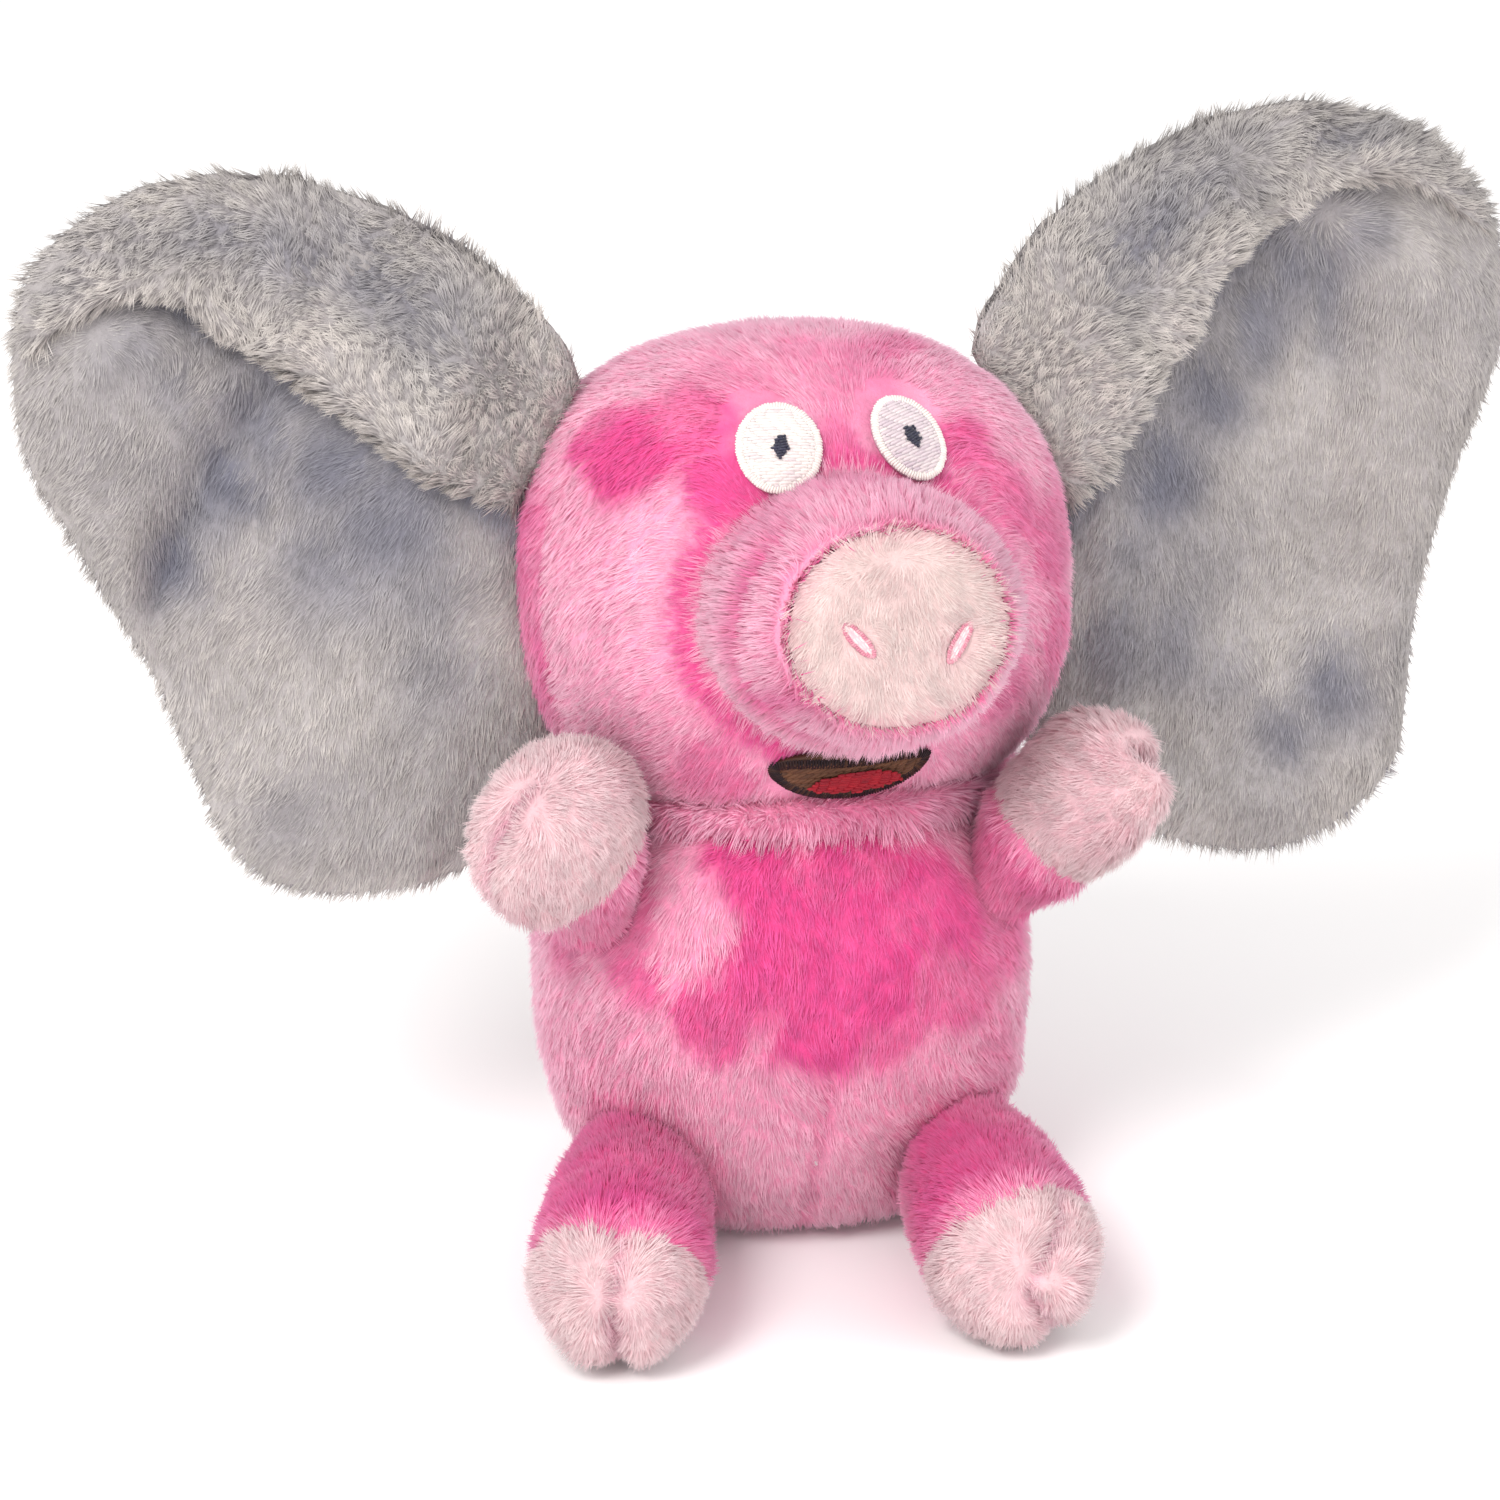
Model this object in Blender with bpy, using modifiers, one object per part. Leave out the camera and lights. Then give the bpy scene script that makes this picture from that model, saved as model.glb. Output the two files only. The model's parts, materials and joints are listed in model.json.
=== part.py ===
"""Plush animal with two big soft ears, a round snout and short stub limbs.

Metres, +Z up, the animal faces -Y and sits on the flat bottom of its body at
z = 0. Its own left side is at +X. The head, snout and face are built in a
neck frame that leans back and turns a little, so the head looks slightly up
and to its left, as it sits. Every soft limb ends in a ball that turns in a
pocket of the body, and every ear ends in a roll that turns in a groove of the
head, so a sewn seam can bend without its pieces running into each other.
"""

import math

import bmesh
import bpy
from mathutils import Matrix, Vector

for old in list(bpy.data.objects):
    bpy.data.objects.remove(old, do_unlink=True)

MM = 0.001

# ---------------------------------------------------------------- dimensions
GAP = 0.3 * MM  # between pieces that touch
PLAY = 0.6 * MM  # between pieces that move on each other
CLOTH = 1.5 * MM  # backing cloth with its pressed-down pile

BODY_CENTRE = Vector((0, 2 * MM, 37 * MM))
BODY_HALF = Vector((39 * MM, 35.5 * MM, 42 * MM))
BODY_POWER = 2.5  # 2 is an ellipsoid, more is squarer
BEAN_HALF = Vector((19 * MM, 17 * MM, 4.6 * MM))
BEAN_TOP = 11.6 * MM

NECK_POINT = Vector((2.6 * MM, 3 * MM, 66.5 * MM))
NECK_GAP = 4.0 * MM  # between the head's underside and the shoulders
NECK_BALL = 14 * MM
HEAD_LEAN = math.radians(9)  # the head looks up a little
HEAD_YAW = math.radians(7)  # and to its left

HEAD_RISE = 33 * MM  # from the neck pivot up to the head's middle
HEAD_HALF = Vector((43.5 * MM, 38 * MM, 39.5 * MM))
HEAD_POWER = 2.45

SNOUT_RISE = -0.5 * MM  # above the head's middle
SNOUT_R = 23 * MM
SNOUT_TIP_R = 17 * MM
SNOUT_LENGTH = 23 * MM
SNOUT_SQUASH = 0.88  # its height over its width
SNOUT_PITCH = math.radians(3)

EYE_HALF = (6.4 * MM, 7.2 * MM)
EYE_THICK = 0.9 * MM
PUPIL_HALF = (1.5 * MM, 2.3 * MM)
MOUTH_HALF = (12.6 * MM, 4.2 * MM)
TONGUE_HALF = (6.8 * MM, 1.7 * MM)
NOSTRIL_HALF = (1.3 * MM, 3.4 * MM)
PATCH_THICK = 0.9 * MM

EAR_ROLL_R = 3.2 * MM
EAR_ROOT_TOP = Vector((40.2 * MM, 3 * MM, 31 * MM))  # from the head's middle
EAR_ROOT_LOW = Vector((46.0 * MM, 3 * MM, -19 * MM))
EAR_SWEEP = math.radians(8)  # the ears stand back a little
EAR_CLOTH = 2.3 * MM
EAR_WAD = 2.0 * MM
EAR_CUP = 5 * MM  # how far the middle of the ear hollows back
EAR_LOWER_EDGE = {"left": -56 * MM, "right": -49.5 * MM}  # the ears hang unevenly
EAR_UPPER_EDGE = 64 * MM
# width of each ear from its root, at even steps from its lower to its upper edge
EAR_OUTER = {
    "left": [v * MM for v in (42, 55, 57.7, 60.3, 64.2, 68.8, 74.4, 79.2, 82, 82.3, 79, 72, 52)],
    "right": [v * MM for v in (27, 39.5, 44.5, 49.7, 55.3, 62, 67.3, 73, 76, 76.5, 74.5, 67, 50)],
}
EAR_INNER = [v * MM for v in (20, 8.5, 6, 5, 4.6, 4.6, 4.6, 4.6, 4.6, 4.6, 5, 12, 34)]
FOLD_THICK = 5.0 * MM
FOLD_WIDTH = 23 * MM  # at the root; the fold narrows to its outer end

ARM_BALL = 8.0 * MM
ARM_TIP_R = 12.6 * MM
ARM_LENGTH = 31.5 * MM
ARM_FLARE = math.radians(12)  # how far the pocket opens for its swing
ARM_CUFF = 9 * MM  # where the arm ends and the hoof begins
ARMS = {  # pivot, direction
    "right": (Vector((-32.8, -20.8, 58.0)) * MM, Vector((-0.36, -0.66, 0.66))),
    "left": (Vector((33.5, -18.0, 58.0)) * MM, Vector((0.60, -0.46, 0.66))),
}

LEG_BALL = 11.0 * MM
LEG_TIP_R = 13.6 * MM
LEG_LENGTH = 46.5 * MM
LEG_FLARE = math.radians(21)
LEG_CUFF = 21 * MM
LEGS = {
    "right": (Vector((-26.0, -24.5, 13.9)) * MM, Vector((-0.20, -0.98, -0.004))),
    "left": (Vector((25.6, -24.5, 13.9)) * MM, Vector((0.01, -1.0, -0.004))),
}

# ---------------------------------------------------------------- scene set-up
PARTS = bpy.data.collections.new("plush_animal")
CUTTERS = bpy.data.collections.new("cutters")
for c in (PARTS, CUTTERS):
    bpy.context.scene.collection.children.link(c)


def material(name, rgb, rough=0.95):
    m = bpy.data.materials.new(name)
    m.use_nodes = True
    p = m.node_tree.nodes["Principled BSDF"]
    p.inputs["Base Color"].default_value = (*[(v / 255) ** 2.2 for v in rgb], 1)
    p.inputs["Roughness"].default_value = rough
    p.inputs["Metallic"].default_value = 0.0
    return m


PINK, HOT, PALE = (240, 160, 192), (232, 84, 148), (233, 204, 209)
GREY, CREAM, NAVY = (150, 144, 148), (240, 230, 225), (35, 35, 60)
BROWN, RED, WHITE, ROSE = (70, 40, 40), (150, 30, 45), (238, 238, 234), (214, 140, 160)


def thing(name, mesh, rgb, parent=None, matrix=None, rough=0.95):
    ob = bpy.data.objects.new(name, mesh)
    PARTS.objects.link(ob)
    mesh.materials.clear()
    mesh.materials.append(material(name + "_cloth", rgb, rough))
    if parent is not None:
        ob.parent = parent
    if matrix is not None:
        ob.matrix_local = matrix
    return ob


def cutter(name, mesh, parent=None, matrix=None):
    ob = bpy.data.objects.new(name, mesh)
    CUTTERS.objects.link(ob)
    ob.hide_render = True
    ob.display_type = "WIRE"
    if parent is not None:
        ob.parent = parent
    if matrix is not None:
        ob.matrix_local = matrix
    return ob


def empty(name, matrix, parent=None):
    ob = bpy.data.objects.new(name, None)
    PARTS.objects.link(ob)
    ob.parent = parent
    ob.matrix_local = matrix
    return ob


def to_mesh(bm, name, smooth=True):
    mesh = bpy.data.meshes.new(name)
    bmesh.ops.recalc_face_normals(bm, faces=bm.faces)
    bm.to_mesh(mesh)
    bm.free()
    if smooth:
        mesh.shade_smooth()
    return mesh


def cut(ob, *others):
    for k, other in enumerate(others):
        mod = ob.modifiers.new(f"cut_{k}", "BOOLEAN")
        mod.operation = "DIFFERENCE"
        mod.solver = "EXACT"
        mod.object = other


def thicken(ob, depth):
    mod = ob.modifiers.new("thickness", "SOLIDIFY")
    mod.thickness = depth
    mod.offset = -1
    mod.use_even_offset = True
    mod.use_quality_normals = True


def ball_mesh(name, radius, segments=18, rings=10):
    bm = bmesh.new()
    bmesh.ops.create_uvsphere(bm, u_segments=segments, v_segments=rings, radius=radius)
    return to_mesh(bm, name)


def pillow_bm(half, power, segments=32, rings=20):
    """A sphere primitive whose points are pushed out to a superellipsoid."""
    bm = bmesh.new()
    bmesh.ops.create_uvsphere(bm, u_segments=segments, v_segments=rings, radius=1)
    for v in bm.verts:
        n = v.co.normalized()
        t = sum(abs(n[i] / half[i]) ** power for i in range(3)) ** (-1 / power)
        v.co = n * t
    return bm


def turned(name, profile, steps=26):
    """The mesh of a profile (radius, height), top to bottom, turned about Z."""
    mesh = bpy.data.meshes.new(name + "_profile")
    verts = [(max(r, 0.0), 0.0, z) for r, z in profile]
    mesh.from_pydata(verts, [(i, i + 1) for i in range(len(verts) - 1)], [])
    ob = bpy.data.objects.new(name + "_profile", mesh)
    CUTTERS.objects.link(ob)
    mod = ob.modifiers.new("turn", "SCREW")
    mod.axis = "Z"
    mod.angle = 2 * math.pi
    mod.steps = mod.render_steps = steps
    mod.use_merge_vertices = True
    mod.merge_threshold = 0.00001
    mod.use_smooth_shade = True
    bpy.context.view_layer.update()
    out = bpy.data.meshes.new_from_object(
        ob.evaluated_get(bpy.context.evaluated_depsgraph_get())
    )
    bpy.data.objects.remove(ob, do_unlink=True)
    out.name = name
    return out


def stretch(mesh, sx, sy, sz):
    mesh.transform(Matrix.Diagonal((sx, sy, sz, 1)))
    return mesh


def aim(direction):
    """The rotation that turns +Z to a direction, and keeps +X level."""
    z = direction.normalized()
    x = Vector((0, 0, 1)).cross(z).normalized()
    y = z.cross(x)
    return Matrix((x, y, z)).transposed().to_4x4()


# ---------------------------------------------------------------- the frames
lean = Matrix.Rotation(HEAD_YAW, 4, "Z") @ Matrix.Rotation(-HEAD_LEAN, 4, "X")
neck_frame = empty("neck_frame", Matrix.Translation(NECK_POINT) @ lean)
neck_world = Matrix.Translation(NECK_POINT) @ lean
head_middle = Vector((0, 0, HEAD_RISE))


def below_neck(point, drop):
    """Keeps a point of the body at least drop below the leaning neck plane."""
    local = neck_world.inverted() @ point
    if local.z > -drop:
        up = (neck_world.to_3x3() @ Vector((0, 0, 1))).z
        return point - Vector((0, 0, (local.z + drop) / up))
    return point


# ---------------------------------------------------------------- pockets
neck_pocket = cutter(
    "neck_pocket", ball_mesh("neck_pocket", NECK_BALL + PLAY), neck_frame, Matrix()
)
def limb_radius(t, ball, tip, length):
    """The limb's radius at t along it: a ball at 0, a fuller rounded tip."""
    if t <= 0:
        return math.sqrt(max(0.0, ball**2 - t**2))
    swell = ball + (tip - ball) * math.sin(min(1.0, t / (0.6 * length)) * math.pi / 2)
    start = length - tip
    if t > start:
        w = (t - start) / tip
        return swell * math.sqrt(max(0.0, 1 - w**2.4))
    return swell


def pocket_mesh(name, ball, tip, length, flare, reach):
    """A ball pocket that flares outward, so that the limb in it can swing."""
    wide = math.tan(flare)
    profile = [(0.0, reach)]
    for k in range(4, -1, -1):
        t = reach * k / 4
        profile.append((limb_radius(t, ball, tip, length) + 1.6 * PLAY + wide * t, t))
    for k in range(1, 6):
        a = math.radians(90 * k / 5)
        profile.append(((ball + 1.6 * PLAY) * math.cos(a), -(ball + PLAY) * math.sin(a)))
    profile[-1] = (0.0, -(ball + PLAY))
    return turned(name, profile, 16)


limb_pockets = []
limb_frames = {}
for kind, limbs, size in (
    ("arm", ARMS, (ARM_BALL, ARM_TIP_R, ARM_LENGTH, ARM_FLARE, 9 * MM)),
    ("leg", LEGS, (LEG_BALL, LEG_TIP_R, LEG_LENGTH, LEG_FLARE, 16 * MM)),
):
    for side, (pivot, way) in limbs.items():
        frame = empty(f"{kind}_{side}_frame", Matrix.Translation(pivot) @ aim(way))
        limb_frames[kind, side] = frame
        name = f"{kind}_{side}_pocket"
        limb_pockets.append(cutter(name, pocket_mesh(name, *size), frame, Matrix()))

# ---------------------------------------------------------------- the body
bm = pillow_bm(BODY_HALF, BODY_POWER, 26, 16)
crown = [v for v in bm.verts if v.co.z > 0.96 * BODY_HALF.z]
bmesh.ops.delete(bm, geom=crown, context="VERTS")
for v in bm.verts:
    v.co = below_neck(v.co + BODY_CENTRE, NECK_GAP / 2)
    v.co.z = max(v.co.z, 0.0)
body_cover = thing("body_cover", to_mesh(bm, "body_cover"), PINK)
thicken(body_cover, CLOTH)
cut(body_cover, neck_pocket, *limb_pockets)

inset = CLOTH + GAP
bm = pillow_bm(BODY_HALF - Vector((inset, inset, inset)), BODY_POWER, 26, 16)
for v in bm.verts:
    v.co = below_neck(v.co + BODY_CENTRE, NECK_GAP / 2 + inset + 0.9 * MM)
    v.co.z = max(v.co.z, BEAN_TOP + GAP)
body_fill = thing("body_fill", to_mesh(bm, "body_fill"), WHITE)
cut(body_fill, neck_pocket, *limb_pockets)

bm = pillow_bm(BEAN_HALF, 3.0, 18, 8)
for v in bm.verts:
    v.co += Vector((0, 5 * MM, BEAN_TOP - BEAN_HALF.z))
bean_bag = thing("bean_bag", to_mesh(bm, "bean_bag"), WHITE)
cut(bean_bag, *limb_pockets[2:])

# the plug of stuffing that holds the neck seam open
neck_fill = thing(
    "neck_fill", ball_mesh("neck_fill", NECK_BALL, 18, 10), WHITE, neck_frame, Matrix()
)

# ---------------------------------------------------------------- the head
ear_frames = {}
ear_grooves = []
root_mid = (EAR_ROOT_TOP + EAR_ROOT_LOW) / 2
for side, s in (("left", 1), ("right", -1)):
    mirror = Matrix.Diagonal((s, 1, 1, 1))
    top = head_middle + mirror @ EAR_ROOT_TOP
    low = head_middle + mirror @ EAR_ROOT_LOW
    z = (top - low).normalized()
    x = Vector((s * math.cos(EAR_SWEEP), math.sin(EAR_SWEEP), 0))
    x = (x - z * x.dot(z)).normalized()
    y = z.cross(x)
    m = Matrix.Translation((top + low) / 2) @ Matrix((x, y, z)).transposed().to_4x4()
    frame = empty(f"ear_{side}_frame", m, neck_frame)
    ear_frames[side] = frame
    bm = bmesh.new()
    bmesh.ops.create_cone(
        bm,
        cap_ends=True,
        segments=12,
        radius1=EAR_ROLL_R + PLAY,
        radius2=EAR_ROLL_R + PLAY,
        depth=(top - low).length + 12 * MM,
    )
    ear_grooves.append(
        cutter(f"ear_{side}_groove", to_mesh(bm, f"ear_{side}_groove"), frame, Matrix())
    )


def head_bm(shrink, floor, segments, rings):
    bm = pillow_bm(
        HEAD_HALF - Vector((shrink, shrink, shrink)), HEAD_POWER, segments, rings
    )
    for v in bm.verts:
        v.co += head_middle
        v.co.z = max(v.co.z, floor)
    return bm


bm = head_bm(0, NECK_GAP / 2, 26, 16)
hole = [
    v
    for v in bm.verts
    if v.co.z < NECK_GAP / 2 + 0.1 * MM and Vector(v.co.xy).length < NECK_BALL * 0.8
]
bmesh.ops.delete(bm, geom=hole, context="VERTS")
head_cover = thing("head_cover", to_mesh(bm, "head_cover"), PINK, neck_frame, Matrix())
thicken(head_cover, CLOTH)
cut(head_cover, neck_pocket, *ear_grooves)

bm = head_bm(inset, NECK_GAP / 2 + inset + 0.9 * MM, 26, 16)
head_fill = thing("head_fill", to_mesh(bm, "head_fill"), WHITE, neck_frame, Matrix())
cut(head_fill, neck_pocket, *ear_grooves)


def face_point(x, z):
    """The point of the head's front at x, z from its middle, and its way out."""
    rest = 1 - abs(x / HEAD_HALF.x) ** HEAD_POWER - abs(z / HEAD_HALF.z) ** HEAD_POWER
    y = -HEAD_HALF.y * max(rest, 0.0) ** (1 / HEAD_POWER)
    p = Vector((x, y, z))
    n = Vector(
        math.copysign(abs(p[i] / HEAD_HALF[i]) ** (HEAD_POWER - 1) / HEAD_HALF[i], p[i])
        for i in range(3)
    ).normalized()
    return head_middle + p, n


# ---------------------------------------------------------------- the snout
snout_base = head_middle + Vector((0, -HEAD_HALF.y * 0.72, SNOUT_RISE))
snout_tip = HEAD_HALF.y * 0.28 + SNOUT_LENGTH
snout_frame_local = (
    Matrix.Translation(snout_base)
    @ Matrix.Rotation(math.pi / 2 - SNOUT_PITCH, 4, "X")
)
head_skin = cutter(
    "head_skin_guide",
    to_mesh(head_bm(-GAP, -1, 26, 16), "head_skin_guide"),
    neck_frame,
    Matrix(),
)


def snout_radius(t):
    """The snout's radius at t, 0 at its base inside the head to 1 at its rim."""
    belly = SNOUT_R * (0.93 + 0.07 * math.sin(math.pi * min(1.0, t / 0.9)) - 0.12 * t**3)
    round_off = math.sqrt(max(0.0, 1 - max(0.0, (t - 0.72) / 0.28) ** 2))
    return SNOUT_TIP_R + (belly - SNOUT_TIP_R) * round_off


steps = [1.0, 0.94, 0.86, 0.74, 0.5, 0.0]
gusset_mesh = turned(
    "snout_gusset", [(snout_radius(t), t * snout_tip) for t in steps], 22
)
stretch(gusset_mesh, 1, SNOUT_SQUASH, 1)
snout_gusset = thing("snout_gusset", gusset_mesh, PINK, neck_frame, snout_frame_local)
thicken(snout_gusset, CLOTH)
cut(snout_gusset, head_skin)

fill_r = CLOTH + GAP
fill_top = snout_tip - 2.3 * MM
profile = [(0.0, fill_top)]
profile += [
    (snout_radius(t) - fill_r - (0.4 + 1.6 * t**6) * MM, min(t * snout_tip, fill_top))
    for t in steps
]
profile += [(0.0, 0.0)]
profile = [q for k, q in enumerate(profile) if k == 0 or q != profile[k - 1]]
fill_mesh = stretch(turned("snout_fill", profile, 22), 1, SNOUT_SQUASH, 1)
snout_fill = thing("snout_fill", fill_mesh, WHITE, neck_frame, snout_frame_local)
cut(snout_fill, head_skin)

pad_r = SNOUT_TIP_R - CLOTH - GAP - 0.2 * MM
crown_h = 2.6 * MM
profile = [
    (pad_r * k / 4, fill_top + GAP + 1.0 * MM + crown_h * (1 - (k / 4) ** 2))
    for k in range(5)
]
profile += [(pad_r, fill_top + GAP), (0.0, fill_top + GAP)]
pad_mesh = stretch(turned("snout_pad", profile, 22), 1, SNOUT_SQUASH, 1)
snout_pad = thing("snout_pad", pad_mesh, PALE, neck_frame, snout_frame_local)


# ---------------------------------------------------------------- embroidery
def oval(name, half, depth, rgb, parent, matrix):
    """A flat oval patch: a filled outline, extruded by half its thickness."""
    curve = bpy.data.curves.new(name, "CURVE")
    curve.dimensions = "2D"
    curve.fill_mode = "BOTH"
    curve.extrude = depth / 2
    spline = curve.splines.new("POLY")
    count = 14
    spline.points.add(count - 1)
    for i, p in enumerate(spline.points):
        a = 2 * math.pi * i / count
        p.co = (half[0] * math.cos(a), half[1] * math.sin(a), 0, 1)
    spline.use_cyclic_u = True
    ob = bpy.data.objects.new(name, curve)
    PARTS.objects.link(ob)
    bpy.context.view_layer.update()
    mesh = bpy.data.meshes.new_from_object(
        ob.evaluated_get(bpy.context.evaluated_depsgraph_get())
    )
    bpy.data.objects.remove(ob, do_unlink=True)
    bm = bmesh.new()
    bm.from_mesh(mesh)
    bmesh.ops.remove_doubles(bm, verts=bm.verts, dist=0.00001)
    bpy.data.meshes.remove(mesh)
    return thing(name, to_mesh(bm, name, False), rgb, parent, matrix, 0.6)


def on_face(x, z, height, roll=0.0):
    """A frame on the head's front: +Z out of it, +Y up it."""
    p, n = face_point(x, z)
    side = Vector((0, 0, 1)).cross(n).normalized()
    up = n.cross(side)
    m = Matrix((side, up, n)).transposed().to_4x4()
    return Matrix.Translation(p + n * height) @ m @ Matrix.Rotation(roll, 4, "Z")


EYE_X, EYE_Z, EYE_SLANT = 10.0 * MM, 24.8 * MM, math.radians(8)
for side, s in (("left", 1), ("right", -1)):
    lift = GAP + EYE_THICK / 2 + 0.25 * MM
    oval(
        f"eye_{side}",
        EYE_HALF,
        EYE_THICK,
        CREAM,
        neck_frame,
        on_face(s * EYE_X, EYE_Z, lift, s * EYE_SLANT),
    )
    oval(
        f"pupil_{side}",
        PUPIL_HALF,
        0.6 * MM,
        NAVY,
        neck_frame,
        on_face(s * EYE_X, EYE_Z, lift + EYE_THICK / 2 + GAP + 0.3 * MM, s * EYE_SLANT),
    )

MOUTH_Z = -24.8 * MM
lift = GAP + PATCH_THICK / 2 + 0.45 * MM
oval("mouth_patch", MOUTH_HALF, PATCH_THICK, BROWN, neck_frame, on_face(0, MOUTH_Z, lift))
oval(
    "tongue_patch",
    TONGUE_HALF,
    0.6 * MM,
    RED,
    neck_frame,
    on_face(0, MOUTH_Z - 0.8 * MM, lift + PATCH_THICK / 2 + GAP + 0.4 * MM),
)

for side, s in (("left", 1), ("right", -1)):
    x, y = s * 9.0 * MM, -1.5 * MM
    z = fill_top + GAP + 1.0 * MM + crown_h * (1 - (Vector((x, y / SNOUT_SQUASH)).length / pad_r) ** 2)
    tilt = Matrix.Rotation(math.atan2(2 * crown_h * abs(x), pad_r**2) * s, 4, "Y")
    local = (
        snout_frame_local
        @ Matrix.Translation((x, y, z + GAP + 0.3 * MM + 0.35 * MM))
        @ tilt
        @ Matrix.Rotation(s * math.radians(-24), 4, "Z")
    )
    oval(f"nostril_{side}", NOSTRIL_HALF, 0.6 * MM, ROSE, neck_frame, local)


# ---------------------------------------------------------------- the ears
def along(table, t):
    """Reads a table of even steps at t from 0 to 1, smoothly."""
    f = max(0.0, min(1.0, t)) * (len(table) - 1)
    i = min(int(f), len(table) - 2)
    w = f - i
    return table[i] * (1 - w) + table[i + 1] * w


def ear_depth(s, t):
    """How far back the ear's middle layer lies at s across and t up."""
    across = min(1.0, max(0.0, s / (80 * MM)))
    hollow = EAR_CUP * math.sin(math.pi * across) ** 1.6
    curl = -2.5 * MM * across**4
    return hollow * (0.35 + 0.65 * math.sin(math.pi * t)) + curl


root_height = head_middle.z + root_mid.z
ROWS, COLUMNS = 12, 7


def ear_layer(name, front, depth, rgb, side, margin=0.0, root=0.0):
    """A sheet of the ear: a grid primitive fitted to the outline, thickened."""
    s = 1 if side == "left" else -1
    bm = bmesh.new()
    bmesh.ops.create_grid(bm, x_segments=COLUMNS, y_segments=ROWS, size=1)
    low = EAR_LOWER_EDGE[side] + margin
    high = EAR_UPPER_EDGE - margin
    for v in bm.verts:
        a, t = (v.co.x + 1) / 2, (v.co.y + 1) / 2
        inner = along(EAR_INNER, t) + margin + root
        outer = along(EAR_OUTER[side], t) - margin
        across = inner + (outer - inner) * a
        v.co = Vector(
            (
                across,
                s * (front * (0.62 + 0.38 * min(1.0, across / (15 * MM))) + ear_depth(across, t)),
                low + (high - low) * t - root_mid.z,
            )
        )
    if s < 0:
        bmesh.ops.reverse_faces(bm, faces=bm.faces)
    mesh = bpy.data.meshes.new(name)
    bm.normal_update()
    bm.to_mesh(mesh)
    bm.free()
    mesh.shade_smooth()
    ob = thing(name, mesh, rgb, ear_frames[side], Matrix())
    mod = ob.modifiers.new("thickness", "SOLIDIFY")
    mod.thickness = depth
    mod.offset = 0
    return ob


def fold_edge(w):
    """The ear's upper edge from root to outer side, and the way in from it."""
    centre = Vector((39 * MM, 20 * MM))
    angle = math.radians(165 - 128 * w)
    reach = Vector((39 * MM * math.cos(angle), 42 * MM * math.sin(angle)))
    edge = centre + reach * (1.0 + 0.02 * math.sin(math.pi * w))
    edge.x = max(edge.x, EAR_INNER[6] + 0.6 * MM)
    inward = (Vector((33 * MM, 4 * MM)) - edge).normalized()
    return edge, inward


for side, s in (("left", 1), ("right", -1)):
    layer = EAR_WAD / 2 + 2.5 * GAP + EAR_CLOTH / 2
    wad = ear_layer(f"ear_{side}_wadding", 0.0, EAR_WAD, WHITE, side, 3.0 * MM, 8.5 * MM)
    ear_layer(f"ear_{side}_front", -layer, EAR_CLOTH, GREY, side)
    ear_layer(f"ear_{side}_back", layer, EAR_CLOTH, GREY, side)

    # the seam roll at the root, on the hinge line
    bm = bmesh.new()
    bmesh.ops.create_cone(
        bm,
        cap_ends=True,
        segments=12,
        radius1=EAR_ROLL_R - 0.2 * MM,
        radius2=EAR_ROLL_R - 0.2 * MM,
        depth=(EAR_ROOT_TOP - EAR_ROOT_LOW).length,
    )
    thing(f"ear_{side}_seam", to_mesh(bm, f"ear_{side}_seam"), GREY, ear_frames[side], Matrix())

    # the folded-over upper edge: a soft flap in front of the ear, as wide as
    # FOLD_WIDTH at the root and narrowing to its outer end
    bm = bmesh.new()
    bmesh.ops.create_grid(bm, x_segments=9, y_segments=4, size=1)
    for v in bm.verts:
        w, u = (v.co.x + 1) / 2, (v.co.y + 1) / 2
        edge, inward = fold_edge(w)
        width = FOLD_WIDTH * (1 - 0.62 * w**1.5)
        at = edge + inward * width * (1 - u)
        t = (at.y - EAR_LOWER_EDGE[side]) / (EAR_UPPER_EDGE - EAR_LOWER_EDGE[side])
        bulge = 1.5 * MM * math.sin(math.pi * u)
        front = ear_depth(at.x, t) - layer - EAR_CLOTH / 2 - GAP - FOLD_THICK / 2
        v.co = Vector((at.x, s * (front - 0.7 * MM - bulge), at.y - root_mid.z))
    if s < 0:
        bmesh.ops.reverse_faces(bm, faces=bm.faces)
    mesh = bpy.data.meshes.new(f"ear_{side}_fold")
    bm.normal_update()
    bm.to_mesh(mesh)
    bm.free()
    mesh.shade_smooth()
    fold = thing(f"ear_{side}_fold", mesh, GREY, ear_frames[side], Matrix())
    mod = fold.modifiers.new("thickness", "SOLIDIFY")
    mod.thickness = FOLD_THICK
    mod.offset = 0


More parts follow.
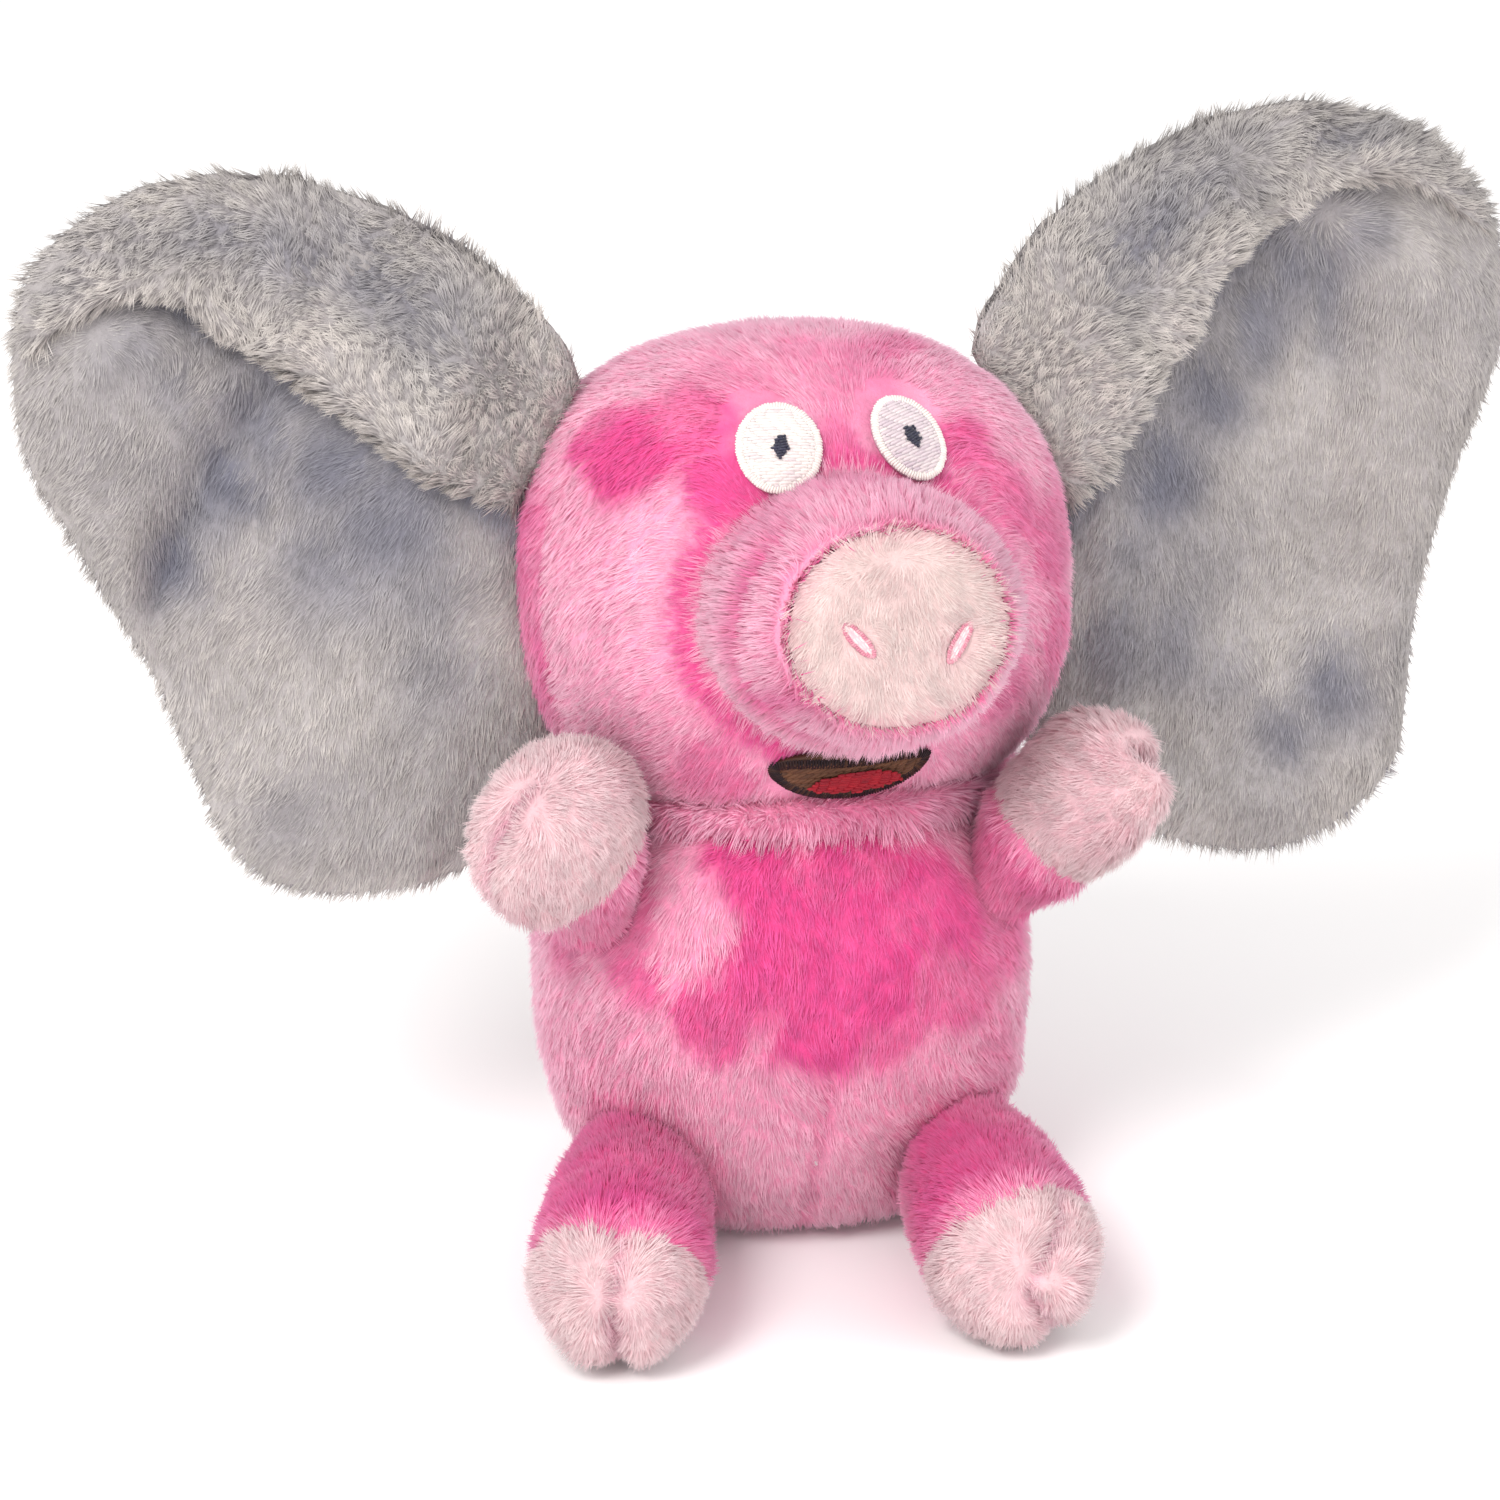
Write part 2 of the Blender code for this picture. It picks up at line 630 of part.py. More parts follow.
# ---------------------------------------------------------------- the limbs
def limb(kind, side, ball, tip, length, cuff, steps):
    frame = limb_frames[kind, side]
    tip_name = "hand" if kind == "arm" else "foot"

    def points(a, b, count, less):
        out = []
        for k in range(count + 1):
            t = a + (b - a) * k / count
            r = limb_radius(t, ball, tip, length) - less
            out.append((max(r, 0.0), t))
        return out

    # the sleeve: open at the back of its ball and at the cuff
    back = -ball * math.cos(math.radians(32))
    sleeve = turned(f"{kind}_{side}_cover", points(cuff, back, 6, 0), steps)
    sleeve_ob = thing(f"{kind}_{side}_cover", sleeve, HOT, frame, Matrix())
    thicken(sleeve_ob, 1.2 * MM)
    # the hoof: closed at its tip
    tops = [(0.0, length)]
    for k in range(1, 7):
        t = length - (length - cuff - GAP) * (k / 6) ** 1.6
        tops.append((limb_radius(t, ball, tip, length), t))
    hoof = turned(f"{tip_name}_{side}_cover", tops, steps)
    hoof_ob = thing(f"{tip_name}_{side}_cover", hoof, PALE, frame, Matrix())
    thicken(hoof_ob, 1.2 * MM)
    # the stuffing inside both
    less = 1.2 * MM + GAP + 0.25 * MM
    inside = [(0.0, length - less)]
    for k in range(1, 6):
        t = length - less - (length - less - cuff) * (k / 5) ** 1.5
        grown = min(t * length / (length - less), length * 0.999)
        inside.append((max(limb_radius(grown, ball, tip, length) - less, 0.5 * MM), t))
    for k in range(1, 6):
        t = cuff + (-ball + less - cuff) * k / 5
        if t <= 0:
            r = math.sqrt(max(0.0, (ball - less) ** 2 - t**2))
        else:
            r = limb_radius(t, ball, tip, length) - less
        inside.append((r, t))
    inside[-1] = (0.0, -ball + less)
    fill = turned(f"{kind}_{side}_fill", inside, steps)
    fill_ob = thing(f"{kind}_{side}_fill", fill, WHITE, frame, Matrix())
    return sleeve_ob, hoof_ob, fill_ob


for side in ("left", "right"):
    limb("arm", side, ARM_BALL, ARM_TIP_R, ARM_LENGTH, ARM_CUFF, 14)
    limb("leg", side, LEG_BALL, LEG_TIP_R, LEG_LENGTH, LEG_CUFF, 16)

bpy.context.view_layer.update()
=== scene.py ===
# The looks of the plush animal: padded skins blown up by cloth simulation, a
# short brushed pile made as real strands on every skin, embroidery made as real
# stitches, and a material for each. Lengths in this file are millimetres.
import math

import bmesh
import bpy
import numpy as np
from mathutils import Matrix
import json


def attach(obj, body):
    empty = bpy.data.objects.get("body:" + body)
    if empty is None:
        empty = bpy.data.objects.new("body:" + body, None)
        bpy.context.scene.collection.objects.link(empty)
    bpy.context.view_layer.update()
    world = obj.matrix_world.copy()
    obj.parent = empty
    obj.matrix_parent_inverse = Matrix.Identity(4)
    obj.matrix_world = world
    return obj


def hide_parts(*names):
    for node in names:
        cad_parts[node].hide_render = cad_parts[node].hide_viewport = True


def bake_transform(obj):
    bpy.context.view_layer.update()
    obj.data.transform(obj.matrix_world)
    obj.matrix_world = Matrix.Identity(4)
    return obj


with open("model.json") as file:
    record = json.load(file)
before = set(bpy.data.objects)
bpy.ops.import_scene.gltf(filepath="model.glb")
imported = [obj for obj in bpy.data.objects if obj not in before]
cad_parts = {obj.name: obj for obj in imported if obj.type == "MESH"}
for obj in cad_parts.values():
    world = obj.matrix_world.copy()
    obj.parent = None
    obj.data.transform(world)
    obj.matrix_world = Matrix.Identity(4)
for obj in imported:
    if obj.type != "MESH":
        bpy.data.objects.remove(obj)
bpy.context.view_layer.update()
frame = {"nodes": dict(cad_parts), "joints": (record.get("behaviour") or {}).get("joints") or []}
scene = bpy.context.scene
joints = {j["name"]: j for j in frame["joints"]}
nodes = frame["nodes"]


# ------------------------------------------------------------ small maths
def unit(v):
    v = np.asarray(v, float)
    return v / np.maximum(np.linalg.norm(v, axis=-1, keepdims=True), 1e-12)


def smooth(a, b, x):
    t = np.clip((np.asarray(x, float) - a) / (b - a), 0, 1)
    return t * t * (3 - 2 * t)


def hash01(ix, iy, iz, seed):
    n = (ix * 73856093) ^ (iy * 19349663) ^ (iz * 83492791) ^ (seed * 40503 + 977)
    n = n & 0xFFFFFFFF
    n = ((n ^ (n >> 16)) * 0x45D9F3B) & 0xFFFFFFFF
    n = ((n ^ (n >> 16)) * 0x45D9F3B) & 0xFFFFFFFF
    return (n ^ (n >> 16)) / 4294967296.0


def noise(p, size, seed):
    """Smooth noise from -1 to 1, with features about size across."""
    q = np.asarray(p, float) / size + 100.0
    i = np.floor(q).astype(np.int64)
    f = q - i
    u = f * f * (3 - 2 * f)
    out = 0
    for dx in (0, 1):
        for dy in (0, 1):
            for dz in (0, 1):
                w = (
                    (u[:, 0] if dx else 1 - u[:, 0])
                    * (u[:, 1] if dy else 1 - u[:, 1])
                    * (u[:, 2] if dz else 1 - u[:, 2])
                )
                out = out + w * hash01(i[:, 0] + dx, i[:, 1] + dy, i[:, 2] + dz, seed)
    return out * 2 - 1


def layered(p, size, seed):
    return (
        noise(p, size, seed) * 0.6
        + noise(p, size * 0.47, seed + 1) * 0.28
        + noise(p, size * 0.21, seed + 2) * 0.16
    )


def tufts(p, size, seed):
    """The nearest tuft centre to each point, and a random number for the tuft."""
    q = np.asarray(p, float) / size + 100.0
    base = np.floor(q).astype(np.int64)
    best = np.full(len(q), 1e9)
    centre = np.zeros_like(q)
    mark = np.zeros(len(q))
    for dx in (-1, 0, 1):
        for dy in (-1, 0, 1):
            for dz in (-1, 0, 1):
                c = base + (dx, dy, dz)
                at = c + np.stack(
                    [hash01(c[:, 0], c[:, 1], c[:, 2], seed + k) for k in range(3)], 1
                )
                d = ((at - q) ** 2).sum(1)
                near = d < best
                best[near] = d[near]
                centre[near] = at[near]
                mark[near] = hash01(c[:, 0], c[:, 1], c[:, 2], seed + 7)[near]
    return (centre - 100.0) * size, mark


def placed(origin, x, z):
    """A 4 x 4 frame from its origin, its X and its Z."""
    z = unit(z)
    x = unit(np.asarray(x, float) - z * np.dot(x, z))
    m = np.eye(4)
    m[:3, 0], m[:3, 1], m[:3, 2], m[:3, 3] = x, np.cross(z, x), z, origin
    return m


def shifted(m, x, y, z):
    t = np.eye(4)
    t[:3, 3] = (x, y, z)
    return m @ t


def turned_about(m, axis, degrees):
    return m @ np.array(Matrix.Rotation(math.radians(degrees), 4, axis))


def to_world(m, p):
    return np.asarray(p, float) @ m[:3, :3].T + m[:3, 3]


def to_local(m, p):
    return (np.asarray(p, float) - m[:3, 3]) @ m[:3, :3]


# ------------------------------------------------------------ the body frames
def joint_at(name):
    return np.array(joints[name]["pos_m"], float) * 1000


NECK = placed(joint_at("head_turn"), joints["head_nod"]["axis"], joints["head_turn"]["axis"])
HEAD = shifted(NECK, 0, 0, 33.0)
SNOUT = turned_about(shifted(HEAD, 0, -38 * 0.72, -0.5), "X", 87)
SNOUT_TIP = 38 * 0.28 + 23
EAR = {}
for side, s in (("left", 1), ("right", -1)):
    z = np.array(joints[f"ear_{side}_flap"]["axis"], float)
    z = z if z[2] > 0 else -z
    x = HEAD[:3, :3] @ np.array([s * math.cos(math.radians(8)), math.sin(math.radians(8)), 0])
    EAR[side] = placed(joint_at(f"ear_{side}_flap"), x, z)
WAYS = {
    ("arm", "left"): (0.60, -0.46, 0.66),
    ("arm", "right"): (-0.36, -0.66, 0.66),
    ("leg", "left"): (0.01, -1.0, -0.004),
    ("leg", "right"): (-0.20, -0.98, -0.004),
}
LIMB = {}
for (kind, side), way in WAYS.items():
    way = unit(way)
    LIMB[kind, side] = placed(
        joint_at(f"{kind}_{side}_swing"), np.cross((0, 0, 1), way), way
    )


# ------------------------------------------------------------ meshes
def linear(rgb):
    return tuple(
        (v / 255 / 12.92) if v / 255 <= 0.04045 else ((v / 255 + 0.055) / 1.055) ** 2.4
        for v in rgb
    )


def solid(name, v, faces, material=None, point=None, uv=None, normals=None):
    """A mesh object from points in mm. faces is an (n, 3) array or a list."""
    mesh = bpy.data.meshes.new(name)
    v = np.asarray(v, float) / 1000
    if isinstance(faces, np.ndarray):
        n, k = faces.shape
        mesh.vertices.add(len(v))
        mesh.vertices.foreach_set("co", v.astype(np.float32).ravel())
        mesh.loops.add(n * k)
        mesh.loops.foreach_set("vertex_index", faces.astype(np.int32).ravel())
        mesh.polygons.add(n)
        mesh.polygons.foreach_set("loop_start", np.arange(0, n * k, k, dtype=np.int32))
        mesh.polygons.foreach_set("use_smooth", np.ones(n, bool))
        mesh.update(calc_edges=True)
    else:
        mesh.from_pydata([tuple(p) for p in v], [], faces)
        mesh.shade_smooth()
    for key, values in (point or {}).items():
        a = mesh.attributes.new(key, "FLOAT", "POINT")
        a.data.foreach_set("value", np.asarray(values, np.float32))
    if uv is not None:
        layer = mesh.uv_layers.new(name="OFBake")
        layer.data.foreach_set("uv", np.asarray(uv, np.float32).ravel())
    if normals is not None:
        mesh.normals_split_custom_set(np.asarray(normals, np.float32).tolist())
    if material is not None:
        mesh.materials.append(material)
    ob = bpy.data.objects.new(name, mesh)
    scene.collection.objects.link(ob)
    return ob


def read_mesh(mesh):
    mesh.calc_loop_triangles()
    v = np.zeros(len(mesh.vertices) * 3, np.float32)
    mesh.vertices.foreach_get("co", v)
    t = np.zeros(len(mesh.loop_triangles) * 3, np.int32)
    mesh.loop_triangles.foreach_get("vertices", t)
    return v.reshape(-1, 3).astype(float) * 1000, t.reshape(-1, 3)


def point_normals(v, t):
    e = np.cross(v[t[:, 1]] - v[t[:, 0]], v[t[:, 2]] - v[t[:, 0]])
    n = np.zeros_like(v)
    for k in range(3):
        np.add.at(n, t[:, k], e)
    return unit(n)


def outward(v, t):
    """Turns the faces of a closed shape so that they look outward."""
    a, b, c = v[t[:, 0]], v[t[:, 1]], v[t[:, 2]]
    if (a * np.cross(b, c)).sum() < 0:
        t = t[:, ::-1].copy()
    return t


def icosphere(level):
    bm = bmesh.new()
    bmesh.ops.create_icosphere(bm, subdivisions=level, radius=1)
    mesh = bpy.data.meshes.new("sphere")
    bm.to_mesh(mesh)
    bm.free()
    v, t = read_mesh(mesh)
    bpy.data.meshes.remove(mesh)
    return unit(v), t


def pillow(n, half, power):
    t = (np.abs(n / np.asarray(half)) ** power).sum(1) ** (-1 / power)
    return n * t[:, None]


def blown(v, t, held, cap, pressure=4.0, frames=20):
    """The padded shape: cloth under pressure, held where held is 1, in mm. It is
    run ten times too big, because the solver works best at furniture sizes."""
    ob = solid("blow", v * 10, t)
    group = ob.vertex_groups.new(name="held")
    for value in np.unique(np.round(held, 1)):
        if value > 0:
            where = np.nonzero(np.round(held, 1) == value)[0]
            group.add([int(k) for k in where], float(value), "REPLACE")
    mod = ob.modifiers.new("cloth", "CLOTH")
    s = mod.settings
    s.quality = 5
    s.mass = 0.3
    s.tension_stiffness = s.compression_stiffness = 12
    s.shear_stiffness = 4
    s.bending_stiffness = 0.4
    s.vertex_group_mass = "held"
    s.use_pressure = True
    s.uniform_pressure_force = pressure
    s.effector_weights.gravity = 0
    mod.collision_settings.use_collision = False
    mod.point_cache.frame_start, mod.point_cache.frame_end = 1, frames
    for k in range(1, frames + 1):
        scene.frame_set(k)
    mesh = bpy.data.meshes.new_from_object(
        ob.evaluated_get(bpy.context.evaluated_depsgraph_get())
    )
    w, _ = read_mesh(mesh)
    bpy.data.meshes.remove(mesh)
    bpy.data.objects.remove(ob, do_unlink=True)
    scene.frame_set(1)
    move = w / 10 - v
    far = np.linalg.norm(move, axis=1, keepdims=True)
    return v + move * np.minimum(1, cap / np.maximum(far, 1e-9))


def finer(name, v, t, levels=1):
    """One round of subdivision, applied."""
    ob = solid(name, v, t)
    mod = ob.modifiers.new("smooth", "SUBSURF")
    mod.levels = mod.render_levels = levels
    mesh = bpy.data.meshes.new_from_object(
        ob.evaluated_get(bpy.context.evaluated_depsgraph_get())
    )
    v, t = read_mesh(mesh)
    bpy.data.meshes.remove(mesh)
    bpy.data.objects.remove(ob, do_unlink=True)
    return v, t


def turn_skin(radius, height, around, squash=1.0):
    """A skin from a profile turned about Z, first point to last."""
    a = np.arange(around) / around * 2 * np.pi
    r, h = np.asarray(radius)[:, None], np.asarray(height)[:, None]
    v = np.stack([r * np.cos(a), r * np.sin(a) * squash, h + 0 * a], 2).reshape(-1, 3)
    rows = len(radius)
    faces = []
    for i in range(rows - 1):
        for k in range(around):
            m = (k + 1) % around
            p0, p1, p2, p3 = i * around + k, i * around + m, (i + 1) * around + m, (i + 1) * around + k
            faces += [(p0, p1, p2), (p0, p2, p3)]
    return v, np.array(faces)


# ------------------------------------------------------------ materials
def bare(name):
    m = bpy.data.materials.new(name)
    m.use_nodes = True
    nt = m.node_tree
    return m, nt, nt.nodes["Principled BSDF"]


def node(nt, kind, **values):
    n = nt.nodes.new(kind)
    for k, v in values.items():
        setattr(n, k, v)
    return n


def mixed(nt, kind, factor, a, b):
    n = node(nt, "ShaderNodeMix", data_type="RGBA", blend_type=kind)
    n.clamp_factor = True
    for socket, value in ((n.inputs[0], factor), (n.inputs[6], a), (n.inputs[7], b)):
        if isinstance(value, bpy.types.NodeSocket):
            nt.links.new(value, socket)
        elif isinstance(value, tuple):
            socket.default_value = (*value, 1)
        else:
            socket.default_value = value
    return n.outputs[2]


def sum_of(nt, operation, a, b, clamp=False):
    n = node(nt, "ShaderNodeMath", operation=operation, use_clamp=clamp)
    for socket, value in ((n.inputs[0], a), (n.inputs[1], b)):
        if isinstance(value, bpy.types.NodeSocket):
            nt.links.new(value, socket)
        else:
            socket.default_value = value
    return n.outputs[0]


def attribute(nt, name):
    return node(nt, "ShaderNodeAttribute", attribute_name=name).outputs["Fac"]


def grain(nt, scale, detail=3.0, stretch=None, rough=0.6):
    co = node(nt, "ShaderNodeTexCoord").outputs["Object"]
    if stretch is not None:
        mapping = node(nt, "ShaderNodeMapping")
        mapping.inputs["Scale"].default_value = stretch
        nt.links.new(co, mapping.inputs["Vector"])
        co = mapping.outputs[0]
    n = node(nt, "ShaderNodeTexNoise")
    n.inputs["Scale"].default_value = scale
    n.inputs["Detail"].default_value = detail
    n.inputs["Roughness"].default_value = rough
    nt.links.new(co, n.inputs["Vector"])
    return n.outputs["Fac"]


def plush(name, light, rich, root, pale, sheen=0.35, skin=False):
    """Brushed pile. The strands carry their own place from root to tip, their own tone,
    and how rich or pale the pile is there, partly dye and partly painted shade."""
    m, nt, p = bare(name)
    light, rich, root, pale = map(linear, (light, rich, root, pale))
    colour = mixed(nt, "MIX", attribute(nt, "rich"), light, rich)
    colour = mixed(nt, "MIX", attribute(nt, "pale"), colour, pale)
    # uneven dye: soft clouds a centimetre across and finer mottling
    cloud = grain(nt, 75, 2.0)
    cloud = sum_of(nt, "MULTIPLY", sum_of(nt, "SUBTRACT", cloud, 0.5), 0.35)
    fine = grain(nt, 420, 2.0)
    fine = sum_of(nt, "MULTIPLY", sum_of(nt, "SUBTRACT", fine, 0.5), 0.3)
    tone = sum_of(nt, "MULTIPLY", sum_of(nt, "SUBTRACT", attribute(nt, "tone"), 0.5), 0.3)
    value = sum_of(nt, "ADD", sum_of(nt, "ADD", cloud, fine), sum_of(nt, "ADD", tone, 1.0))
    hsv = node(nt, "ShaderNodeHueSaturation")
    nt.links.new(colour, hsv.inputs["Color"])
    nt.links.new(value, hsv.inputs["Value"])
    # the pile is darker at its roots than at its tips: partly a deeper dye, partly painted shade of the pile over its
    # roots
    deep = mixed(nt, "MULTIPLY", 1.0, hsv.outputs[0], root)
    tip = attribute(nt, "tip")
    colour = mixed(nt, "MIX", tip, deep, hsv.outputs[0])
    nt.links.new(colour, p.inputs["Base Color"])
    p.inputs["Roughness"].default_value = 0.82
    p.inputs["Specular IOR Level"].default_value = 0.25
    p.inputs["Sheen Weight"].default_value = sheen
    p.inputs["Sheen Roughness"].default_value = 0.45
    p.inputs["Sheen Tint"].default_value = (*[min(1, 0.35 + 0.65 * c) for c in light], 1)
    if skin:
        bump = node(nt, "ShaderNodeBump")
        bump.inputs["Strength"].default_value = 0.7
        bump.inputs["Distance"].default_value = 0.0006
        nt.links.new(grain(nt, 1300, 4.0), bump.inputs["Height"])
        nt.links.new(bump.outputs[0], p.inputs["Normal"])
    return m


def thread(name, colour, other, sheen=0.25, rough=0.42, gloss=0.5):
    """Rayon embroidery thread: a satin gloss, twisted strands across each stitch
    and a small change of tone from stitch to stitch."""
    m, nt, p = bare(name)
    base = mixed(nt, "MIX", attribute(nt, "tone"), linear(colour), linear(other))
    twist = grain(nt, 2600, 3.0)
    # darker and lighter along the twist of the strands
    twist_toned = mixed(nt, "MULTIPLY", 0.55, base, mixed(nt, "MIX", twist, (0.55,) * 3, (1.0,) * 3))
    nt.links.new(twist_toned, p.inputs["Base Color"])
    p.inputs["Roughness"].default_value = rough
    p.inputs["Specular IOR Level"].default_value = gloss
    p.inputs["Sheen Weight"].default_value = sheen
    bump = node(nt, "ShaderNodeBump")
    bump.inputs["Strength"].default_value = 0.5
    bump.inputs["Distance"].default_value = 0.0001
    nt.links.new(twist, bump.inputs["Height"])
    nt.links.new(bump.outputs[0], p.inputs["Normal"])
    return m


def fibre(name, colour, scale=500):
    """Carded polyester stuffing, or an inner cloth, for what the skins hide."""
    m, nt, p = bare(name)
    rope = grain(nt, scale, 6.0, (1.0, 1.0, 0.35), 0.7)
    col = mixed(nt, "MIX", rope, tuple(c * 0.72 for c in linear(colour)), linear(colour))
    nt.links.new(col, p.inputs["Base Color"])
    p.inputs["Roughness"].default_value = 0.95
    p.inputs["Sheen Weight"].default_value = 0.5
    bump = node(nt, "ShaderNodeBump")
    bump.inputs["Strength"].default_value = 0.8
    bump.inputs["Distance"].default_value = 0.0008
    nt.links.new(rope, bump.inputs["Height"])
    nt.links.new(bump.outputs[0], p.inputs["Normal"])
    return m


def woven(name, colour, pitch=0.6):
    """A plain woven pouch cloth: two crossed thread directions."""
    m, nt, p = bare(name)
    co = node(nt, "ShaderNodeTexCoord").outputs["Object"]
    waves = []
    for axis in ("X", "Y"):
        w = node(nt, "ShaderNodeTexWave", wave_type="BANDS", bands_direction=axis)
        w.inputs["Scale"].default_value = 1000 / pitch / 20
        w.inputs["Distortion"].default_value = 0.6
        w.inputs["Detail Scale"].default_value = 40
        nt.links.new(co, w.inputs["Vector"])
        waves.append(w.outputs["Fac"])
    weave = sum_of(nt, "MULTIPLY", waves[0], waves[1])
    col = mixed(nt, "MIX", weave, tuple(c * 0.6 for c in linear(colour)), linear(colour))
    nt.links.new(col, p.inputs["Base Color"])
    p.inputs["Roughness"].default_value = 0.9
    bump = node(nt, "ShaderNodeBump")
    bump.inputs["Strength"].default_value = 0.6
    bump.inputs["Distance"].default_value = 0.0002
    nt.links.new(weave, bump.inputs["Height"])
    nt.links.new(bump.outputs[0], p.inputs["Normal"])
    return m


# the ROOT colours darken the pile towards its roots: partly deeper dye, partly painted shade
LIGHT, RICH, ROOT = (236, 192, 210), (220, 90, 156), (234, 158, 190)
PALE = (250, 222, 232)
GREY, GREY_DARK, GREY_ROOT = (203, 196, 189), (136, 136, 147), (172, 170, 180)
HOOF, HOOF_RICH, HOOF_ROOT, HOOF_PALE = (226, 204, 208), (222, 166, 185), (226, 192, 199), (230, 213, 212)
PAD, PAD_RICH, PAD_ROOT, PAD_PALE = (224, 208, 205), (228, 168, 186), (220, 196, 198), (228, 216, 210)
pink_fur = plush("pink_pile", LIGHT, RICH, ROOT, PALE)
pink_skin = plush("pink_backing", LIGHT, RICH, ROOT, PALE, 0.2, True)
pale_fur = plush("pale_pile", HOOF, HOOF_RICH, HOOF_ROOT, HOOF_PALE)
pale_skin = plush("pale_backing", HOOF, HOOF_RICH, HOOF_ROOT, HOOF_PALE, 0.2, True)
pad_fur = plush("pad_pile", PAD, PAD_RICH, PAD_ROOT, PAD_PALE)
pad_skin = plush("pad_backing", PAD, PAD_RICH, PAD_ROOT, PAD_PALE, 0.2, True)
grey_fur = plush("grey_pile", GREY, GREY_DARK, GREY_ROOT, (214, 208, 202), 0.3)
grey_skin = plush("grey_backing", GREY, GREY_DARK, GREY_ROOT, (214, 208, 202), 0.2, True)
grey_fold_fur = plush("grey_fold_pile", (212, 205, 198), (138, 137, 146), (136, 134, 143), (222, 214, 208), 0.25)
# cream_thread's second colour is a lilac grey: painted shade of the satin in the eyes
cream_thread = thread("cream_thread", (238, 229, 223), (204, 188, 196), 0.15)
navy_thread = thread("navy_thread", (38, 38, 66), (24, 24, 44))
rose_thread = thread("rose_thread", (238, 212, 212), (208, 132, 152), 0.1)
brown_thread = thread("brown_thread", (102, 66, 46), (32, 17, 23), 0.0, 0.5, 0.2)
red_thread = thread("red_thread", (166, 22, 38), (120, 12, 32), 0.0, 0.5, 0.25)
stuffing = fibre("stuffing_fibre", (236, 234, 230))
pouch = woven("pouch_weave", (226, 222, 214))
grey_roll = fibre("grey_seam_roll", (120, 116, 124), 900)


# ------------------------------------------------------------ skins and pile
def skin_of(v, t, **marks):
    marks.setdefault("rich", np.zeros(len(v)))
    marks.setdefault("pale", np.zeros(len(v)))
    marks.setdefault("keep", np.ones(len(v)))
    marks = {k: np.clip(np.asarray(a, float), 0, 1) for k, a in marks.items()}
    return {"v": v, "t": t, "n": point_normals(v, t), **marks}


def skin_piece(name, skin, material, body, replaced, link=None):
    n = len(skin["v"])
    ob = solid(
        name,
        skin["v"],
        skin["t"],
        material,
        {
            "rich": skin["rich"],
            "pale": skin["pale"],
            "tip": np.full(n, 0.35),
            "tone": np.full(n, 0.4),
        },
    )
    if replaced:
        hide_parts(*replaced)
    if link is None:
        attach(ob, body)
    if link is not None:
        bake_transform(ob)
    return ob


def morton(q):
    q = np.clip(q.astype(np.int64), 0, 1023)
    out = np.zeros(len(q), np.int64)
    for bit in range(10):
        for k in range(3):
            out |= ((q[:, k] >> bit) & 1) << (3 * bit + k)
    return out


